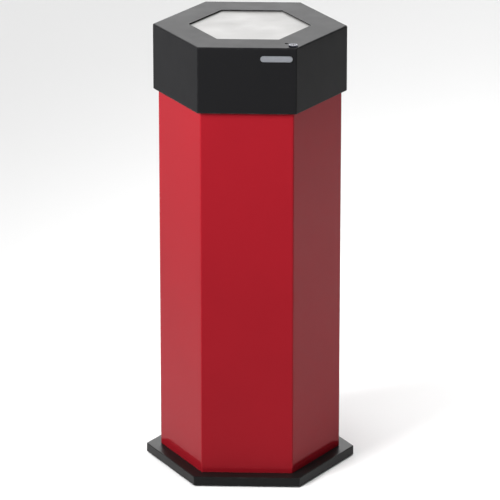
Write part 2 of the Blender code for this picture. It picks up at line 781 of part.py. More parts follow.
flap_axis = axis_empty("flap_axis", flap_point, hood_axis)
seal_inner = opening_half + SEAL_SETBACK
seal_profile = [
    (seal_inner, OPENING_CORNER, 0),
    (seal_inner + SEAL_WIDTH, OPENING_CORNER, 0),
    (seal_inner + SEAL_WIDTH, OPENING_CORNER, -SEAL_THICKNESS),
    (seal_inner, OPENING_CORNER, -SEAL_THICKNESS),
]
piece("flap_seal", hexagonal(seal_profile, closed=True), black_rubber, (0, 0, seal_top), hood_axis)

flap_profile = [
    (flap_half, OPENING_CORNER, -FLAP_SHEET),
    (flap_half, OPENING_CORNER, -FLAP_CHAMFER),
    (flap_half - FLAP_CHAMFER, OPENING_CORNER, 0),
]
piece("flap_plate", hexagonal(flap_profile, closed=False), satin_steel, (0, 0, flap_top), flap_axis)

eye = EAR_EYE / 2
flap_bore = FLAP_PIN / 2 + FLAP_PIN_CLEARANCE
blade_inset = EAR_SHEET / 2  # blade ends inside the foot's thickness
ear_foot_top = FLAP_AXIS_DROP - SEAT_GAP
ear_back = -FLAP_AXIS_BACK - EAR_INSET
ear_front = ear_back - EAR_FOOT[1]
ear_blade_top = ear_foot_top - blade_inset
ear_blade = [(ear_front + blade_inset, ear_blade_top)]
ear_blade += [(ear_front + blade_inset, ear_foot_top - 2 * EAR_SHEET)]
ear_blade += arc((0, 0), eye, -90, 90)
ear_blade += [(ear_back - blade_inset, ear_blade_top)]
bracket_top = hood_under - SEAT_GAP - flap_point.z
bracket_front = BRACKET_SETBACK - FLAP_AXIS_BACK
bracket_back = bracket_front + BRACKET_FOOT[1]
bracket_blade_top = bracket_top - blade_inset
bracket_blade = [(bracket_back - blade_inset, bracket_blade_top)]
bracket_blade += [(bracket_front + blade_inset, bracket_blade_top)]
bracket_blade += arc((0, 0), eye, 180, 360)
ear_side = EAR_SPREAD / 2
bracket_side = ear_side + EAR_SHEET + BRACKET_RUN


def tab(name, side, blade, middle, foot_inner, foot_outer, foot_ends, foot_top, material, carrier):
    """Sheet tab with an upright blade, an eye for the pin and a flat foot."""
    low, high = sorted((side * foot_inner, side * foot_outer))
    foot = extruded(rectangle(*foot_ends, foot_top - EAR_SHEET, foot_top), low, high, "x")
    obj = piece(name, foot, material, flap_point, carrier)
    blade_span = (side * middle - EAR_SHEET / 2, side * middle + EAR_SHEET / 2, "x")
    shape(obj, extruded(blade, *blade_span), "UNION")
    bore_span = (side * middle - EAR_SHEET, side * middle + EAR_SHEET, "x")
    shape(obj, rods(flap_bore, *bore_span, [(0, 0, 0)]), "DIFFERENCE")


for label, side in (("left", -1), ("right", 1)):
    tab(
        f"flap_ear_{label}",
        side,
        ear_blade,
        ear_side,
        ear_side - EAR_FOOT[0],
        ear_side + EAR_SHEET / 2 - blade_inset / 2,
        (ear_front, ear_back),
        ear_foot_top,
        satin_steel,
        flap_axis,
    )
    tab(
        f"flap_bracket_{label}",
        side,
        bracket_blade,
        bracket_side,
        bracket_side - EAR_SHEET / 2 + blade_inset / 2,
        bracket_side + BRACKET_FOOT[0],
        (bracket_front, bracket_back),
        bracket_top,
        black_coat,
        hood_axis,
    )
    ring_near = bracket_side + EAR_SHEET / 2 + SEAT_GAP
    ring_far = ring_near + RING_THICKNESS
    ring_hole = FLAP_PIN / 2 + SEAT_GAP
    ring_profile = [
        (RING_DIAMETER / 2, side * ring_near),
        (RING_DIAMETER / 2, side * ring_far),
        (ring_hole, side * ring_far),
        (ring_hole, side * ring_near),
    ]
    piece(f"flap_pin_ring_{label}", turned(ring_profile, "x", closed=True), zinc_steel, flap_point, hood_axis)

flap_pin_end = bracket_side + EAR_SHEET / 2 + 2 * SEAT_GAP + 2 * RING_THICKNESS
flap_pin_profile = [(FLAP_PIN / 2, -flap_pin_end), (FLAP_PIN / 2, flap_pin_end)]
piece("flap_pin", turned(flap_pin_profile, "x"), zinc_steel, flap_point, hood_axis)


# Flap springs

spring_radius = FLAP_PIN / 2 + SPRING_CLEARANCE + SPRING_WIRE / 2


def leg_tilt(leg, rise):
    """Slope of a leg that leaves the coil on a tangent and ends at a rise above the axis."""
    return math.asin(rise / math.hypot(spring_radius, leg)) - math.atan2(spring_radius, leg)


def spring_points(side):
    """Rear leg under the hood's top, coil about the pin, front leg under the flap."""
    touch = SPRING_WIRE / 2 + SEAT_GAP
    front = leg_tilt(SPRING_FRONT_LEG, FLAP_AXIS_DROP - touch)
    rear = leg_tilt(SPRING_REAR_LEG, hood_under - flap_point.z - touch)
    turning = 2 * math.pi * SPRING_TURNS - front - rear
    coil = SPRING_PITCH * turning / (2 * math.pi)
    start = side * (SPRING_SPREAD / 2 + coil / 2)
    end = side * (SPRING_SPREAD / 2 - coil / 2)
    steps = SPRING_TURNS * POINTS_PER_TURN
    points = []
    for share in range(steps + 1):
        turn = math.pi / 2 - rear - turning * share / steps
        x = start + (end - start) * share / steps
        points.append(Vector((x, -spring_radius * math.cos(turn), spring_radius * math.sin(turn))))
    rear_way = Vector((0, math.cos(rear), math.sin(rear)))
    front_way = Vector((0, -math.cos(front), math.sin(front)))
    points.insert(0, points[0] + rear_way * SPRING_REAR_LEG)
    points.append(points[-1] + front_way * SPRING_FRONT_LEG)
    return points


def least_gap(points):
    """Least clear distance between stretches of wire that are half a turn or more apart."""
    apart = POINTS_PER_TURN // 2
    least = min(
        (first - second).length
        for index, first in enumerate(points)
        for second in points[index + apart:]
    )
    return least - SPRING_WIRE


for label, side in (("left", -1), ("right", 1)):
    coil_points = spring_points(side)
    print(f"flap_spring_{label}: least gap to itself {least_gap(coil_points) * 1000:.2f} mm")
    wire(f"flap_spring_{label}", coil_points, SPRING_WIRE, 1, spring_steel, flap_point, hood_axis)


# Liner

liner_bottom = plinth_top + SEAT_GAP
liner_height = liner_top - liner_bottom
liner_inner_corner = LINER_CORNER - LINER_SHEET
liner = piece(
    "liner",
    hexagonal(
        [
            (liner_half, LINER_CORNER, 0),
            (liner_half, LINER_CORNER, liner_height - LINER_RIM_HEIGHT),
            (liner_half + LINER_RIM, LINER_CORNER + LINER_RIM, liner_height - LINER_RIM_HEIGHT),
            (liner_half + LINER_RIM, LINER_CORNER + LINER_RIM, liner_height),
            (liner_inside, liner_inner_corner, liner_height),
            (liner_inside, liner_inner_corner, LINER_SHEET),
        ],
        closed=False,
    ),
    zinc_steel,
    (0, 0, liner_bottom),
)


# Bail

bail_axis = axis_empty("bail_axis", bail_point)
pivot_above_rim = bail_point.z - liner_top
ear_outer = liner_inside - SEAT_GAP
ear_inner = ear_outer - BAIL_EAR_SHEET
ear_half = BAIL_EAR[0] / 2
ear_outline = [(-ear_half, -pivot_above_rim - BAIL_EAR[1]), (ear_half, -pivot_above_rim - BAIL_EAR[1])]
ear_outline += [(ear_half, -pivot_above_rim)]
ear_outline += arc((0, 0), BAIL_EAR_TOP, 0, 180)
ear_outline += [(-ear_half, -pivot_above_rim)]
ear_rivet_level = -pivot_above_rim - EAR_RIVET_DROP
ear_rivet_hole = EAR_RIVET_SHANK / 2 + RIVET_CLEARANCE
ear_rivet_x = (-EAR_RIVET_SPAN / 2, EAR_RIVET_SPAN / 2)
for label, side in (("front", -1), ("back", 1)):
    low, high = sorted((side * ear_inner, side * ear_outer))
    ear = piece(f"bail_ear_{label}", extruded(ear_outline, low, high, "y"), zinc_steel, bail_point)
    through = (low - CUT_OVERRUN, high + CUT_OVERRUN, "y")
    rivet_holes = [(x, 0, ear_rivet_level) for x in ear_rivet_x]
    shape(ear, rods(BAIL_ROD / 2 + BAIL_CLEARANCE, *through, [(0, 0, 0)]), "DIFFERENCE")
    shape(ear, rods(ear_rivet_hole, *through, rivet_holes, FASTENER_SIDES), "DIFFERENCE")
    wall_level = bail_point.z + ear_rivet_level - liner_bottom
    wall = sorted((side * (liner_inside - CUT_OVERRUN), side * (liner_half + CUT_OVERRUN)))
    wall_holes = [(x, 0, wall_level) for x in ear_rivet_x]
    shape(liner, rods(ear_rivet_hole, *wall, "y", wall_holes, FASTENER_SIDES), "DIFFERENCE")
    for number, x in enumerate(ear_rivet_x, start=1):
        stud = rivet(
            f"bail_ear_rivet_{label}_{number}",
            BAIL_EAR_SHEET + SEAT_GAP + LINER_SHEET,
            EAR_RIVET_SHANK,
            EAR_RIVET_HEAD,
            EAR_RIVET_HEAD_HEIGHT,
            "y",
            (x, side * liner_half, bail_point.z + ear_rivet_level),
            None,
        )
        if side < 0:
            stud.rotation_euler.z = math.pi

leg_side = ear_inner - BAIL_ROD / 2 - BAIL_CLEARANCE
stub_side = ear_outer + BAIL_STUB
knee = liner_inside * HALF_SIDE - BAIL_KNEE_INSET
bar = 2 * liner_inside * HALF_SIDE - BAIL_BAR_INSET
bar_half = GRIP_LENGTH / 2 + GRIP_ROOM
bail_corners = [
    (0, -stub_side, 0),
    (0, -leg_side, 0),
    (-knee, -leg_side, 0),
    (-bar, -bar_half, 0),
    (-bar, bar_half, 0),
    (-knee, leg_side, 0),
    (0, leg_side, 0),
    (0, stub_side, 0),
]
bail_radii = [BAIL_END_ROUNDING] + 4 * [BAIL_ROUNDING] + [BAIL_END_ROUNDING]
wire("bail_rod", rounded_path(bail_corners, bail_radii), BAIL_ROD, 2, zinc_steel, bail_point, bail_axis)

grip_radius = GRIP_DIAMETER / 2
grip_hole = BAIL_ROD / 2 + SEAT_GAP
grip_end = GRIP_LENGTH / 2
grip_profile = [
    (grip_hole, -grip_end),
    (grip_radius - GRIP_CHAMFER, -grip_end),
    (grip_radius, GRIP_CHAMFER - grip_end),
    (grip_radius, grip_end - GRIP_CHAMFER),
    (grip_radius - GRIP_CHAMFER, grip_end),
    (grip_hole, grip_end),
]
piece(
    "bail_grip",
    turned(grip_profile, "y", closed=True),
    black_plastic,
    bail_point - Vector((bar, 0, 0)),
    bail_axis,
)
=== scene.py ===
import json
import math

import bmesh
import bpy
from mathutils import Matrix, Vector


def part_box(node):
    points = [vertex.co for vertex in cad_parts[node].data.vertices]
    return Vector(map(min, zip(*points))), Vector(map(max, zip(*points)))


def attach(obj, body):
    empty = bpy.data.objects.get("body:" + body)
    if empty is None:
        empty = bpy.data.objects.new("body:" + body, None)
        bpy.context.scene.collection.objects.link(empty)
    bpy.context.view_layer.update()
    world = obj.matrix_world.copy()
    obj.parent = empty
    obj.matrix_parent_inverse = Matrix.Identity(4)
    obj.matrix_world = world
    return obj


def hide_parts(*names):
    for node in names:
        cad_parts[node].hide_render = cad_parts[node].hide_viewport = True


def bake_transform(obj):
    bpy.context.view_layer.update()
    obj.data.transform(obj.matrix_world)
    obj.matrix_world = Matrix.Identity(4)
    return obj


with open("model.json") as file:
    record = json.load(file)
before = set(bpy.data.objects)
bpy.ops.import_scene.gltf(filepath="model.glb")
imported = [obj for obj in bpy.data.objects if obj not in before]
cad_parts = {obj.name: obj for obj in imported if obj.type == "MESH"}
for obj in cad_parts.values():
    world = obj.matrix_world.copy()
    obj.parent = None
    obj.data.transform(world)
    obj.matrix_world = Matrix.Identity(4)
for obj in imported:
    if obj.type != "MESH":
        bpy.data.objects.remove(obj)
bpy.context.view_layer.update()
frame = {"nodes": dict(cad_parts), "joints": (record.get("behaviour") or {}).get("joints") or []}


# Base mat
# A die-cut sheet of black rubber between the plinth and the paving, with three anchor holes.
# It lies loose under the plinth's weight and shows only as a dark line at the foot.


def plain_finish(name, roughness, metal=0.0, gloss=0.5):
    """Finish with one shader, its even values set, ready for its patterns."""
    material = bpy.data.materials.new(name)
    material.use_nodes = True
    shader = material.node_tree.nodes["Principled BSDF"]
    shader.inputs["Roughness"].default_value = roughness
    shader.inputs["Metallic"].default_value = metal
    shader.inputs["Specular IOR Level"].default_value = gloss
    return material, material.node_tree, shader


def cloud(tree, per_metre, detail=2.0, stretch=(1.0, 1.0, 1.0)):
    """Soft uneven pattern that stays on its piece, with so many waves to the metre."""
    place = tree.nodes.new("ShaderNodeTexCoord")
    spread = tree.nodes.new("ShaderNodeMapping")
    pattern = tree.nodes.new("ShaderNodeTexNoise")
    spread.inputs["Scale"].default_value = stretch
    pattern.inputs["Scale"].default_value = per_metre
    pattern.inputs["Detail"].default_value = detail
    tree.links.new(place.outputs["Object"], spread.inputs["Vector"])
    tree.links.new(spread.outputs["Vector"], pattern.inputs["Vector"])
    return pattern.outputs["Fac"]


def shades(tree, pattern, dark, light, start=0.3, end=0.7):
    """Colour that goes from dark to light with a pattern."""
    ramp = tree.nodes.new("ShaderNodeValToRGB")
    for element, position, colour in zip(ramp.color_ramp.elements, (start, end), (dark, light)):
        element.position = position
        element.color = (*colour, 1.0)
    tree.links.new(pattern, ramp.inputs["Fac"])
    return ramp.outputs["Color"]


def between(tree, pattern, low, high, start=0.3, end=0.7):
    """Number that goes from low to high with a pattern."""
    spread = tree.nodes.new("ShaderNodeMapRange")
    spread.inputs["From Min"].default_value = start
    spread.inputs["From Max"].default_value = end
    spread.inputs["To Min"].default_value = low
    spread.inputs["To Max"].default_value = high
    tree.links.new(pattern, spread.inputs["Value"])
    return spread.outputs["Result"]


def relief(tree, shader, pattern, height):
    """Fine relief of that height, in metres."""
    bump = tree.nodes.new("ShaderNodeBump")
    bump.inputs["Strength"].default_value = 1.0
    bump.inputs["Distance"].default_value = height
    tree.links.new(pattern, bump.inputs["Height"])
    tree.links.new(bump.outputs["Normal"], shader.inputs["Normal"])


def toned(tree, shader, pattern, dark, light, smooth, rough, start=0.3, end=0.7):
    """Colour and roughness of a finish that both go with one pattern."""
    tree.links.new(shades(tree, pattern, dark, light, start, end), shader.inputs["Base Color"])
    tree.links.new(between(tree, pattern, smooth, rough, start, end), shader.inputs["Roughness"])


RUBBER_BLACK = (0.010, 0.010, 0.010)
RUBBER_DUSTY = (0.022, 0.021, 0.020)
RUBBER_GRAIN = 0.00008


def rubber_finish():
    """Matt black rubber with a bloom of dust and a fine moulded grain."""
    material, tree, shader = plain_finish("mat_rubber", roughness=0.8, gloss=0.25)
    toned(tree, shader, cloud(tree, 60.0, 4.0), RUBBER_BLACK, RUBBER_DUSTY, smooth=0.72, rough=0.88)
    relief(tree, shader, cloud(tree, 1600.0), RUBBER_GRAIN)
    return material


def dress(node, material):
    """Gives a CAD node that keeps its shape its finish."""
    for place in frame["nodes"][node].material_slots:
        place.material = material


rubber = rubber_finish()
dress("base_mat", rubber)


# Plinth
# A thick six-sided steel foot plate, profile cut, its edges eased, with a black powder coat.
# Ground anchors go through its three holes, and the column is bolted to it from inside.


def combined(tree, operation, first, second):
    """Two patterns added or multiplied."""
    both = tree.nodes.new("ShaderNodeMath")
    both.operation = operation
    tree.links.new(first, both.inputs[0])
    tree.links.new(second, both.inputs[1])
    return both.outputs["Value"]


def edge_wear(tree, reach):
    """Pattern of broken patches along edges, and nothing on the flats."""
    eased = tree.nodes.new("ShaderNodeBevel")
    eased.inputs["Radius"].default_value = reach
    surface = tree.nodes.new("ShaderNodeNewGeometry")
    likeness = tree.nodes.new("ShaderNodeVectorMath")
    likeness.operation = "DOT_PRODUCT"
    tree.links.new(eased.outputs["Normal"], likeness.inputs[0])
    tree.links.new(surface.outputs["Normal"], likeness.inputs[1])
    edges = between(tree, likeness.outputs["Value"], low=1.0, high=0.0, start=0.90, end=0.995)
    patches = between(tree, cloud(tree, 90.0, 6.0), low=0.1, high=1.0, start=0.42, end=0.62)
    return combined(tree, "MULTIPLY", edges, patches)


def laid_over(tree, mask, under, over):
    """One colour over another where a mask shows it."""
    blend = tree.nodes.new("ShaderNodeMix")
    blend.data_type = "RGBA"
    tree.links.new(mask, blend.inputs["Factor"])
    # Its colours go in at sockets 6 and 7 and come out at socket 2.
    tree.links.new(under, blend.inputs[6])
    tree.links.new(over, blend.inputs[7])
    return blend.outputs[2]


def powder_coat(name, colour, worn, roughness, gloss, peel_height, flake=0.0):
    """Baked powder coat: a faint cloud in the colour, orange peel, rub marks and paler worn edges."""
    material, tree, shader = plain_finish(name, roughness, flake, gloss)
    drift = cloud(tree, 7.0, 5.0)
    peel = cloud(tree, 520.0, 1.0)
    rub = cloud(tree, 26.0, 6.0)
    deep = [(1 - COAT_DRIFT) * part for part in colour]
    pale = [(1 + COAT_DRIFT) * part for part in colour]
    sound = shades(tree, drift, deep, pale)
    rubbed = shades(tree, rub, [WORN_SHADE * part for part in worn], worn)
    wear = edge_wear(tree, WEAR_REACH)
    smooth = (1 - RUB_DRIFT) * roughness
    rough = (1 + RUB_DRIFT) * roughness
    tree.links.new(laid_over(tree, wear, sound, rubbed), shader.inputs["Base Color"])
    tree.links.new(between(tree, rub, smooth, rough), shader.inputs["Roughness"])
    relief(tree, shader, peel, peel_height)
    return material


def six_sides(half, bend, level, steps=6):
    """Ring with six sides, flat at front and back, its corners bent to a radius."""
    ring = []
    centre = (half - bend) / math.cos(math.radians(30))
    for corner in range(6):
        middle = math.radians(60 * corner)
        for step in range(steps + 1):
            turn = middle + math.radians(60 * step / steps - 30)
            x = centre * math.cos(middle) + bend * math.cos(turn)
            y = centre * math.sin(middle) + bend * math.sin(turn)
            ring.append(Vector((x, y, level)))
    return ring


def rounded_corner(before, here, after, radius, steps):
    """Points round a corner that is bent to a radius."""
    back = (before - here).normalized()
    ahead = (after - here).normalized()
    opening = back.angle(ahead) / 2
    middle = here + (back + ahead).normalized() * (radius / math.sin(opening))
    first = here + back * (radius / math.tan(opening)) - middle
    last = here + ahead * (radius / math.tan(opening)) - middle
    return [middle + first.slerp(last, step / steps) * radius for step in range(steps + 1)]


def eased_profile(corners, closed, steps=4):
    """Profile of reach and level with each corner rounded to the radius given with it."""
    profile = []
    for index, (reach, level, radius) in enumerate(corners):
        if radius == 0 or (not closed and index in (0, len(corners) - 1)):
            profile.append((reach, level))
            continue
        before = Vector((*corners[index - 1][:2], 0))
        after = Vector((*corners[(index + 1) % len(corners)][:2], 0))
        bend = rounded_corner(before, Vector((reach, level, 0)), after, radius, steps)
        profile += [(point.x, point.y) for point in bend]
    return profile


def band(inner, outer, low, high, inner_edge, low_edge, high_edge):
    """Profile of a plate, rod or ring, with the easing of its edges."""
    return [
        (inner, low, inner_edge),
        (outer, low, low_edge),
        (outer, high, high_edge),
        (inner, high, inner_edge),
    ]


def skinned(rings, closed):
    """Skin over a row of rings, joined end to end or capped at both ends."""
    mesh = bmesh.new()
    rows = [[mesh.verts.new(point) for point in ring] for ring in rings]
    pairs = list(zip(rows, rows[1:]))
    if closed:
        pairs.append((rows[-1], rows[0]))
    else:
        mesh.faces.new(rows[0])
        mesh.faces.new(rows[-1])
    for lower, upper in pairs:
        for index in range(len(lower)):
            ahead = (index + 1) % len(lower)
            mesh.faces.new((lower[index], lower[ahead], upper[ahead], upper[index]))
    bmesh.ops.recalc_face_normals(mesh, faces=mesh.faces)
    return mesh


def six_sided(corners, half, bend, closed, least_bend=0.0015):
    """Six-sided piece from a profile. Its bends run parallel to the bend at its full half width."""
    rings = []
    for reach, level in eased_profile(corners, closed):
        rings.append(six_sides(reach, max(bend + reach - half, least_bend), level))
    return skinned(rings, closed)


def along(axis, across, up, run):
    """Point at a run along one axis, with its two other places in order."""
    return Vector({"x": (run, across, up), "y": (across, run, up), "z": (across, up, run)}[axis])


def turned(corners, axis="z", closed=False, sides=48):
    """Round piece from a profile of radius and level."""
    rings = []
    for radius, level in eased_profile(corners, closed):
        ring = []
        for side in range(sides):
            turn = 2 * math.pi * side / sides
            ring.append(along(axis, radius * math.cos(turn), radius * math.sin(turn), level))
        rings.append(ring)
    return skinned(rings, closed)


def drill_bit(radius, low, high, axis="z"):
    """Straight round drill between two places along an axis."""
    return turned([(radius, low, 0), (radius, high, 0)], axis)


def joined(*meshes):
    """Several meshes as one."""
    whole = bmesh.new()
    for mesh in meshes:
        part = bpy.data.meshes.new("part")
        mesh.to_mesh(part)
        mesh.free()
        whole.from_mesh(part)
        bpy.data.meshes.remove(part)
    return whole


def moved(mesh, *places):
    """Copies of a mesh at several places."""
    copies = []
    for place in places:
        copy = mesh.copy()
        bmesh.ops.translate(copy, verts=copy.verts, vec=place)
        copies.append(copy)
    mesh.free()
    return joined(*copies)


def bench_object(name, mesh):
    """Object that holds a mesh."""
    data = bpy.data.meshes.new(name)
    mesh.to_mesh(data)
    mesh.free()
    obj = bpy.data.objects.new(name, data)
    bpy.context.scene.collection.objects.link(obj)
    return obj


def drilled(mesh, drill):
    """Mesh with the drill's shape taken out of it."""
    work = bench_object("work", mesh)
    bit = bench_object("bit", drill)
    cut = work.modifiers.new("cut", "BOOLEAN")
    cut.object = bit
    cut.solver = "EXACT"
    result = bmesh.new()
    result.from_object(work, bpy.context.evaluated_depsgraph_get())
    for spare in (work, bit):
        bpy.data.objects.remove(spare)
    return result


def finished(name, mesh, material):
    """Object with a finish, shaded smooth between its sharp edges."""
    obj = bench_object(name, mesh)
    obj.data.materials.append(material)
    obj.data.shade_smooth()
    obj.data.set_sharp_from_angle(angle=SHARP_ANGLE)
    return obj


def fit(name, mesh, material, body, node, place=(0, 0, 0), turn=0.0):
    """Puts a piece on its body, in the place of its CAD node."""
    obj = finished(name, mesh, material)
    even = obj.modifiers.new("even shading", "WEIGHTED_NORMAL")
    even.keep_sharp = True
    obj.location = place
    obj.rotation_euler.z = turn
    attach(obj, body)
    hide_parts(node)


def around(count, reach, start):
    """Places spaced evenly on a circle."""
    turns = [math.radians(start + 360 * index / count) for index in range(count)]
    return [Vector((reach * math.cos(turn), reach * math.sin(turn), 0)) for turn in turns]


SHARP_ANGLE = math.radians(40)
COAT_DRIFT = 0.025
RUB_DRIFT = 0.06
WEAR_REACH = 0.0025
WORN_SHADE = 0.8
FACE_INSET = 0.01
PLINTH_BLACK = (0.006, 0.006, 0.006)
PLINTH_WORN = (0.03, 0.03, 0.03)
PLINTH_CORNER = 0.003
PLINTH_EDGE = 0.0015
PLINTH_FOOT_EDGE = 0.0005
ANCHOR_COUNT = 3
ANCHOR_RADIUS = 0.006
ANCHOR_REACH = 0.070

plinth_low, plinth_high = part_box("plinth")
plinth_half = plinth_high.y
plinth_face = plinth_half - FACE_INSET
plinth_top = plinth_high.z
plinth_profile = band(
    plinth_face, plinth_half, plinth_low.z, plinth_top, 0, PLINTH_FOOT_EDGE, PLINTH_EDGE
)
plinth_plate = six_sided(plinth_profile, plinth_half, PLINTH_CORNER, closed=False)
anchor_drill = drill_bit(ANCHOR_RADIUS, 0, 2 * plinth_top)
plinth_plate = drilled(plinth_plate, moved(anchor_drill, *around(ANCHOR_COUNT, ANCHOR_REACH, start=90)))
plinth_coat = powder_coat(
    "plinth_coat", PLINTH_BLACK, PLINTH_WORN, roughness=0.34, gloss=0.12, peel_height=0.00001
)
fit("plinth_plate", plinth_plate, plinth_coat, "base", "plinth")


# Column
# One steel sheet folded round six sides and welded at the back, with in-turned flanges at both ends.
# It has a glossy red powder coat, and stands on the plinth, held by bolts through its foot flange.

COLUMN_RED = (0.20, 0.006, 0.011)
COLUMN_WORN = (0.36, 0.03, 0.036)
COLUMN_SHEET = 0.002
COLUMN_BEND = 0.004
COLUMN_TOP_EDGE = 0.138
COLUMN_FOOT_EDGE = 0.134
CUT_EDGE = 0.0004

column_low, column_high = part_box("column_shell")
column_half = column_high.y
column_inside = column_half - COLUMN_SHEET
column_sheet = six_sided(
    [
        (column_half, column_low.z, CUT_EDGE),
        (column_half, column_high.z, COLUMN_SHEET),
        (COLUMN_TOP_EDGE, column_high.z, CUT_EDGE),
        (COLUMN_TOP_EDGE, column_high.z - COLUMN_SHEET, CUT_EDGE),
        (column_inside, column_high.z - COLUMN_SHEET, CUT_EDGE),
        (column_inside, column_low.z + COLUMN_SHEET, CUT_EDGE),
        (COLUMN_FOOT_EDGE, column_low.z + COLUMN_SHEET, CUT_EDGE),
        (COLUMN_FOOT_EDGE, column_low.z, CUT_EDGE),
    ],
    column_half,
    COLUMN_BEND,
    closed=True,
)
column_coat = powder_coat(
    "column_coat", COLUMN_RED, COLUMN_WORN, roughness=0.13, gloss=0.06, peel_height=0.000004, flake=0.15
)
fit("column_sheet", column_sheet, column_coat, "base", "column_shell")


# Foot bolts
# Six zinc-plated hexagon bolts with washers, which hold the column's foot flange down on the plinth.
# They keep the shape of their CAD solids, since the liner hides them.

FOOT_BOLTS = 6
ZINC_DARK = (0.44, 0.45, 0.46)
ZINC_LIGHT = (0.60, 0.61, 0.62)
ZINC_SCRATCH = 0.00001


def zinc_plate():
    """Zinc plating: pale grey with cloudy patches, faint scratches and a dull shine."""
    material, tree, shader = plain_finish("zinc_plate", roughness=0.42, metal=1.0)
    scratches = cloud(tree, 900.0, 2.0, (1.0, 1.0, 0.08))
    toned(tree, shader, cloud(tree, 180.0, 3.0), ZINC_DARK, ZINC_LIGHT, smooth=0.34, rough=0.50)
    relief(tree, shader, scratches, ZINC_SCRATCH)
    return material


zinc = zinc_plate()
for number in range(1, FOOT_BOLTS + 1):
    dress(f"foot_bolt_{number}", zinc)


# Liner
# A lift-out bucket of thin galvanised sheet, folded round six sides, with a rim rolled outwards.
# It stands loose on the plinth inside the column and takes the bag.


def galvanised_sheet():
    """Hot-dip zinc with its crystal spangle in several greys and a soft metallic shine."""
    material, tree, shader = plain_finish("galvanised_sheet", roughness=0.4, metal=1.0)
    place = tree.nodes.new("ShaderNodeTexCoord")
    spangle = tree.nodes.new("ShaderNodeTexVoronoi")
    spangle.inputs["Scale"].default_value = SPANGLE_PER_METRE
    tree.links.new(place.outputs["Object"], spangle.inputs["Vector"])
    crystals = spangle.outputs["Color"]
    toned(
        tree, shader, crystals, SPANGLE_DARK, SPANGLE_LIGHT, smooth=0.30, rough=0.50, start=0.1, end=0.9
    )
    relief(tree, shader, cloud(tree, 300.0, 3.0), SPANGLE_RELIEF)
    return material


SPANGLE_DARK = (0.40, 0.41, 0.42)
SPANGLE_LIGHT = (0.58, 0.59, 0.60)
SPANGLE_PER_METRE = 75.0
SPANGLE_RELIEF = 0.00003
LINER_SHEET = 0.0012
LINER_BEND = 0.006
LINER_RIM = 0.004
LINER_RIM_HEIGHT = 0.008
LINER_FOLD = 0.0025

liner_low, liner_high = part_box("liner")
rim_half = liner_high.y
liner_half = rim_half - LINER_RIM
liner_inside = liner_half - LINER_SHEET
liner_bucket = six_sided(
    [
        (liner_half - FACE_INSET, liner_low.z, 0),
        (liner_half, liner_low.z, LINER_FOLD),
        (liner_half, liner_high.z - LINER_RIM_HEIGHT, CUT_EDGE),
        (rim_half, liner_high.z - LINER_RIM_HEIGHT, LINER_FOLD),
        (rim_half, liner_high.z, LINER_FOLD),
        (liner_inside, liner_high.z, LINER_FOLD),
        (liner_inside, liner_low.z + LINER_SHEET, LINER_FOLD - LINER_SHEET),
        (liner_inside - FACE_INSET, liner_low.z + LINER_SHEET, 0),
    ],
    liner_half,
    LINER_BEND,
    closed=False,
)
galvanised = galvanised_sheet()
fit("liner_bucket", liner_bucket, galvanised, "base", "liner")


# Bail ears
# Two pressed zinc-plated steel ears inside the liner, front and back, that stand above its rim.
# Each is held by two domed rivets and has the eye that the bail turns in.


def arc(centre, radius, start, end, steps=10):
    """Points on a circle, with its angles in degrees."""
    points = []
    for step in range(steps + 1):
        turn = math.radians(start + (end - start) * step / steps)
        points.append((centre[0] + radius * math.cos(turn), centre[1] + radius * math.sin(turn)))
    return points


def block(outline, low, high, axis):
    """Straight block of an outline, between two places along an axis."""
    ends = []
    for run in (low, high):
        ends.append([along(axis, across, up, run) for across, up in outline])
    return skinned(ends, closed=False)


def pressed(outline, low, high, axis):
    """Block of an outline with its sharp edges eased."""
    plate = block(outline, low, high, axis)
    sharp = [line for line in plate.edges if line.calc_face_angle(0) > EASED_ANGLE]
    bmesh.ops.bevel(
        plate, geom=sharp, offset=CUT_EDGE, segments=2, profile=0.5, affect="EDGES", clamp_overlap=True
    )
    return plate


def rivet_stud(shank, head, rise, grip, low_head):
    """Rivet along Y with a domed head outside, and its upset head at the other end of its grip."""
    turns = [math.radians(turn) for turn in range(0, 81, 10)]
    dome = [(head / 2 * math.cos(turn), rise * math.sin(turn), 0) for turn in turns]
    foot = [(radius, -grip - level * low_head / rise, 0) for radius, level, _ in dome]
    profile = foot[::-1] + [(shank / 2, -grip, 0), (shank / 2, 0, 0)] + dome
    return turned(profile, "y", sides=24)


EASED_ANGLE = math.radians(30)
EAR_SHEET = 0.002
EAR_HALF = 0.012
EAR_TOP = 0.008
EAR_DEPTH = 0.026
EAR_EYE = 0.0036
EAR_RIVET_DROP = 0.017
EAR_RIVET_SIDE = 0.007
EAR_RIVET_SHANK = 0.0036
EAR_RIVET_HEAD = 0.007
EAR_RIVET_UPSET = 0.0012

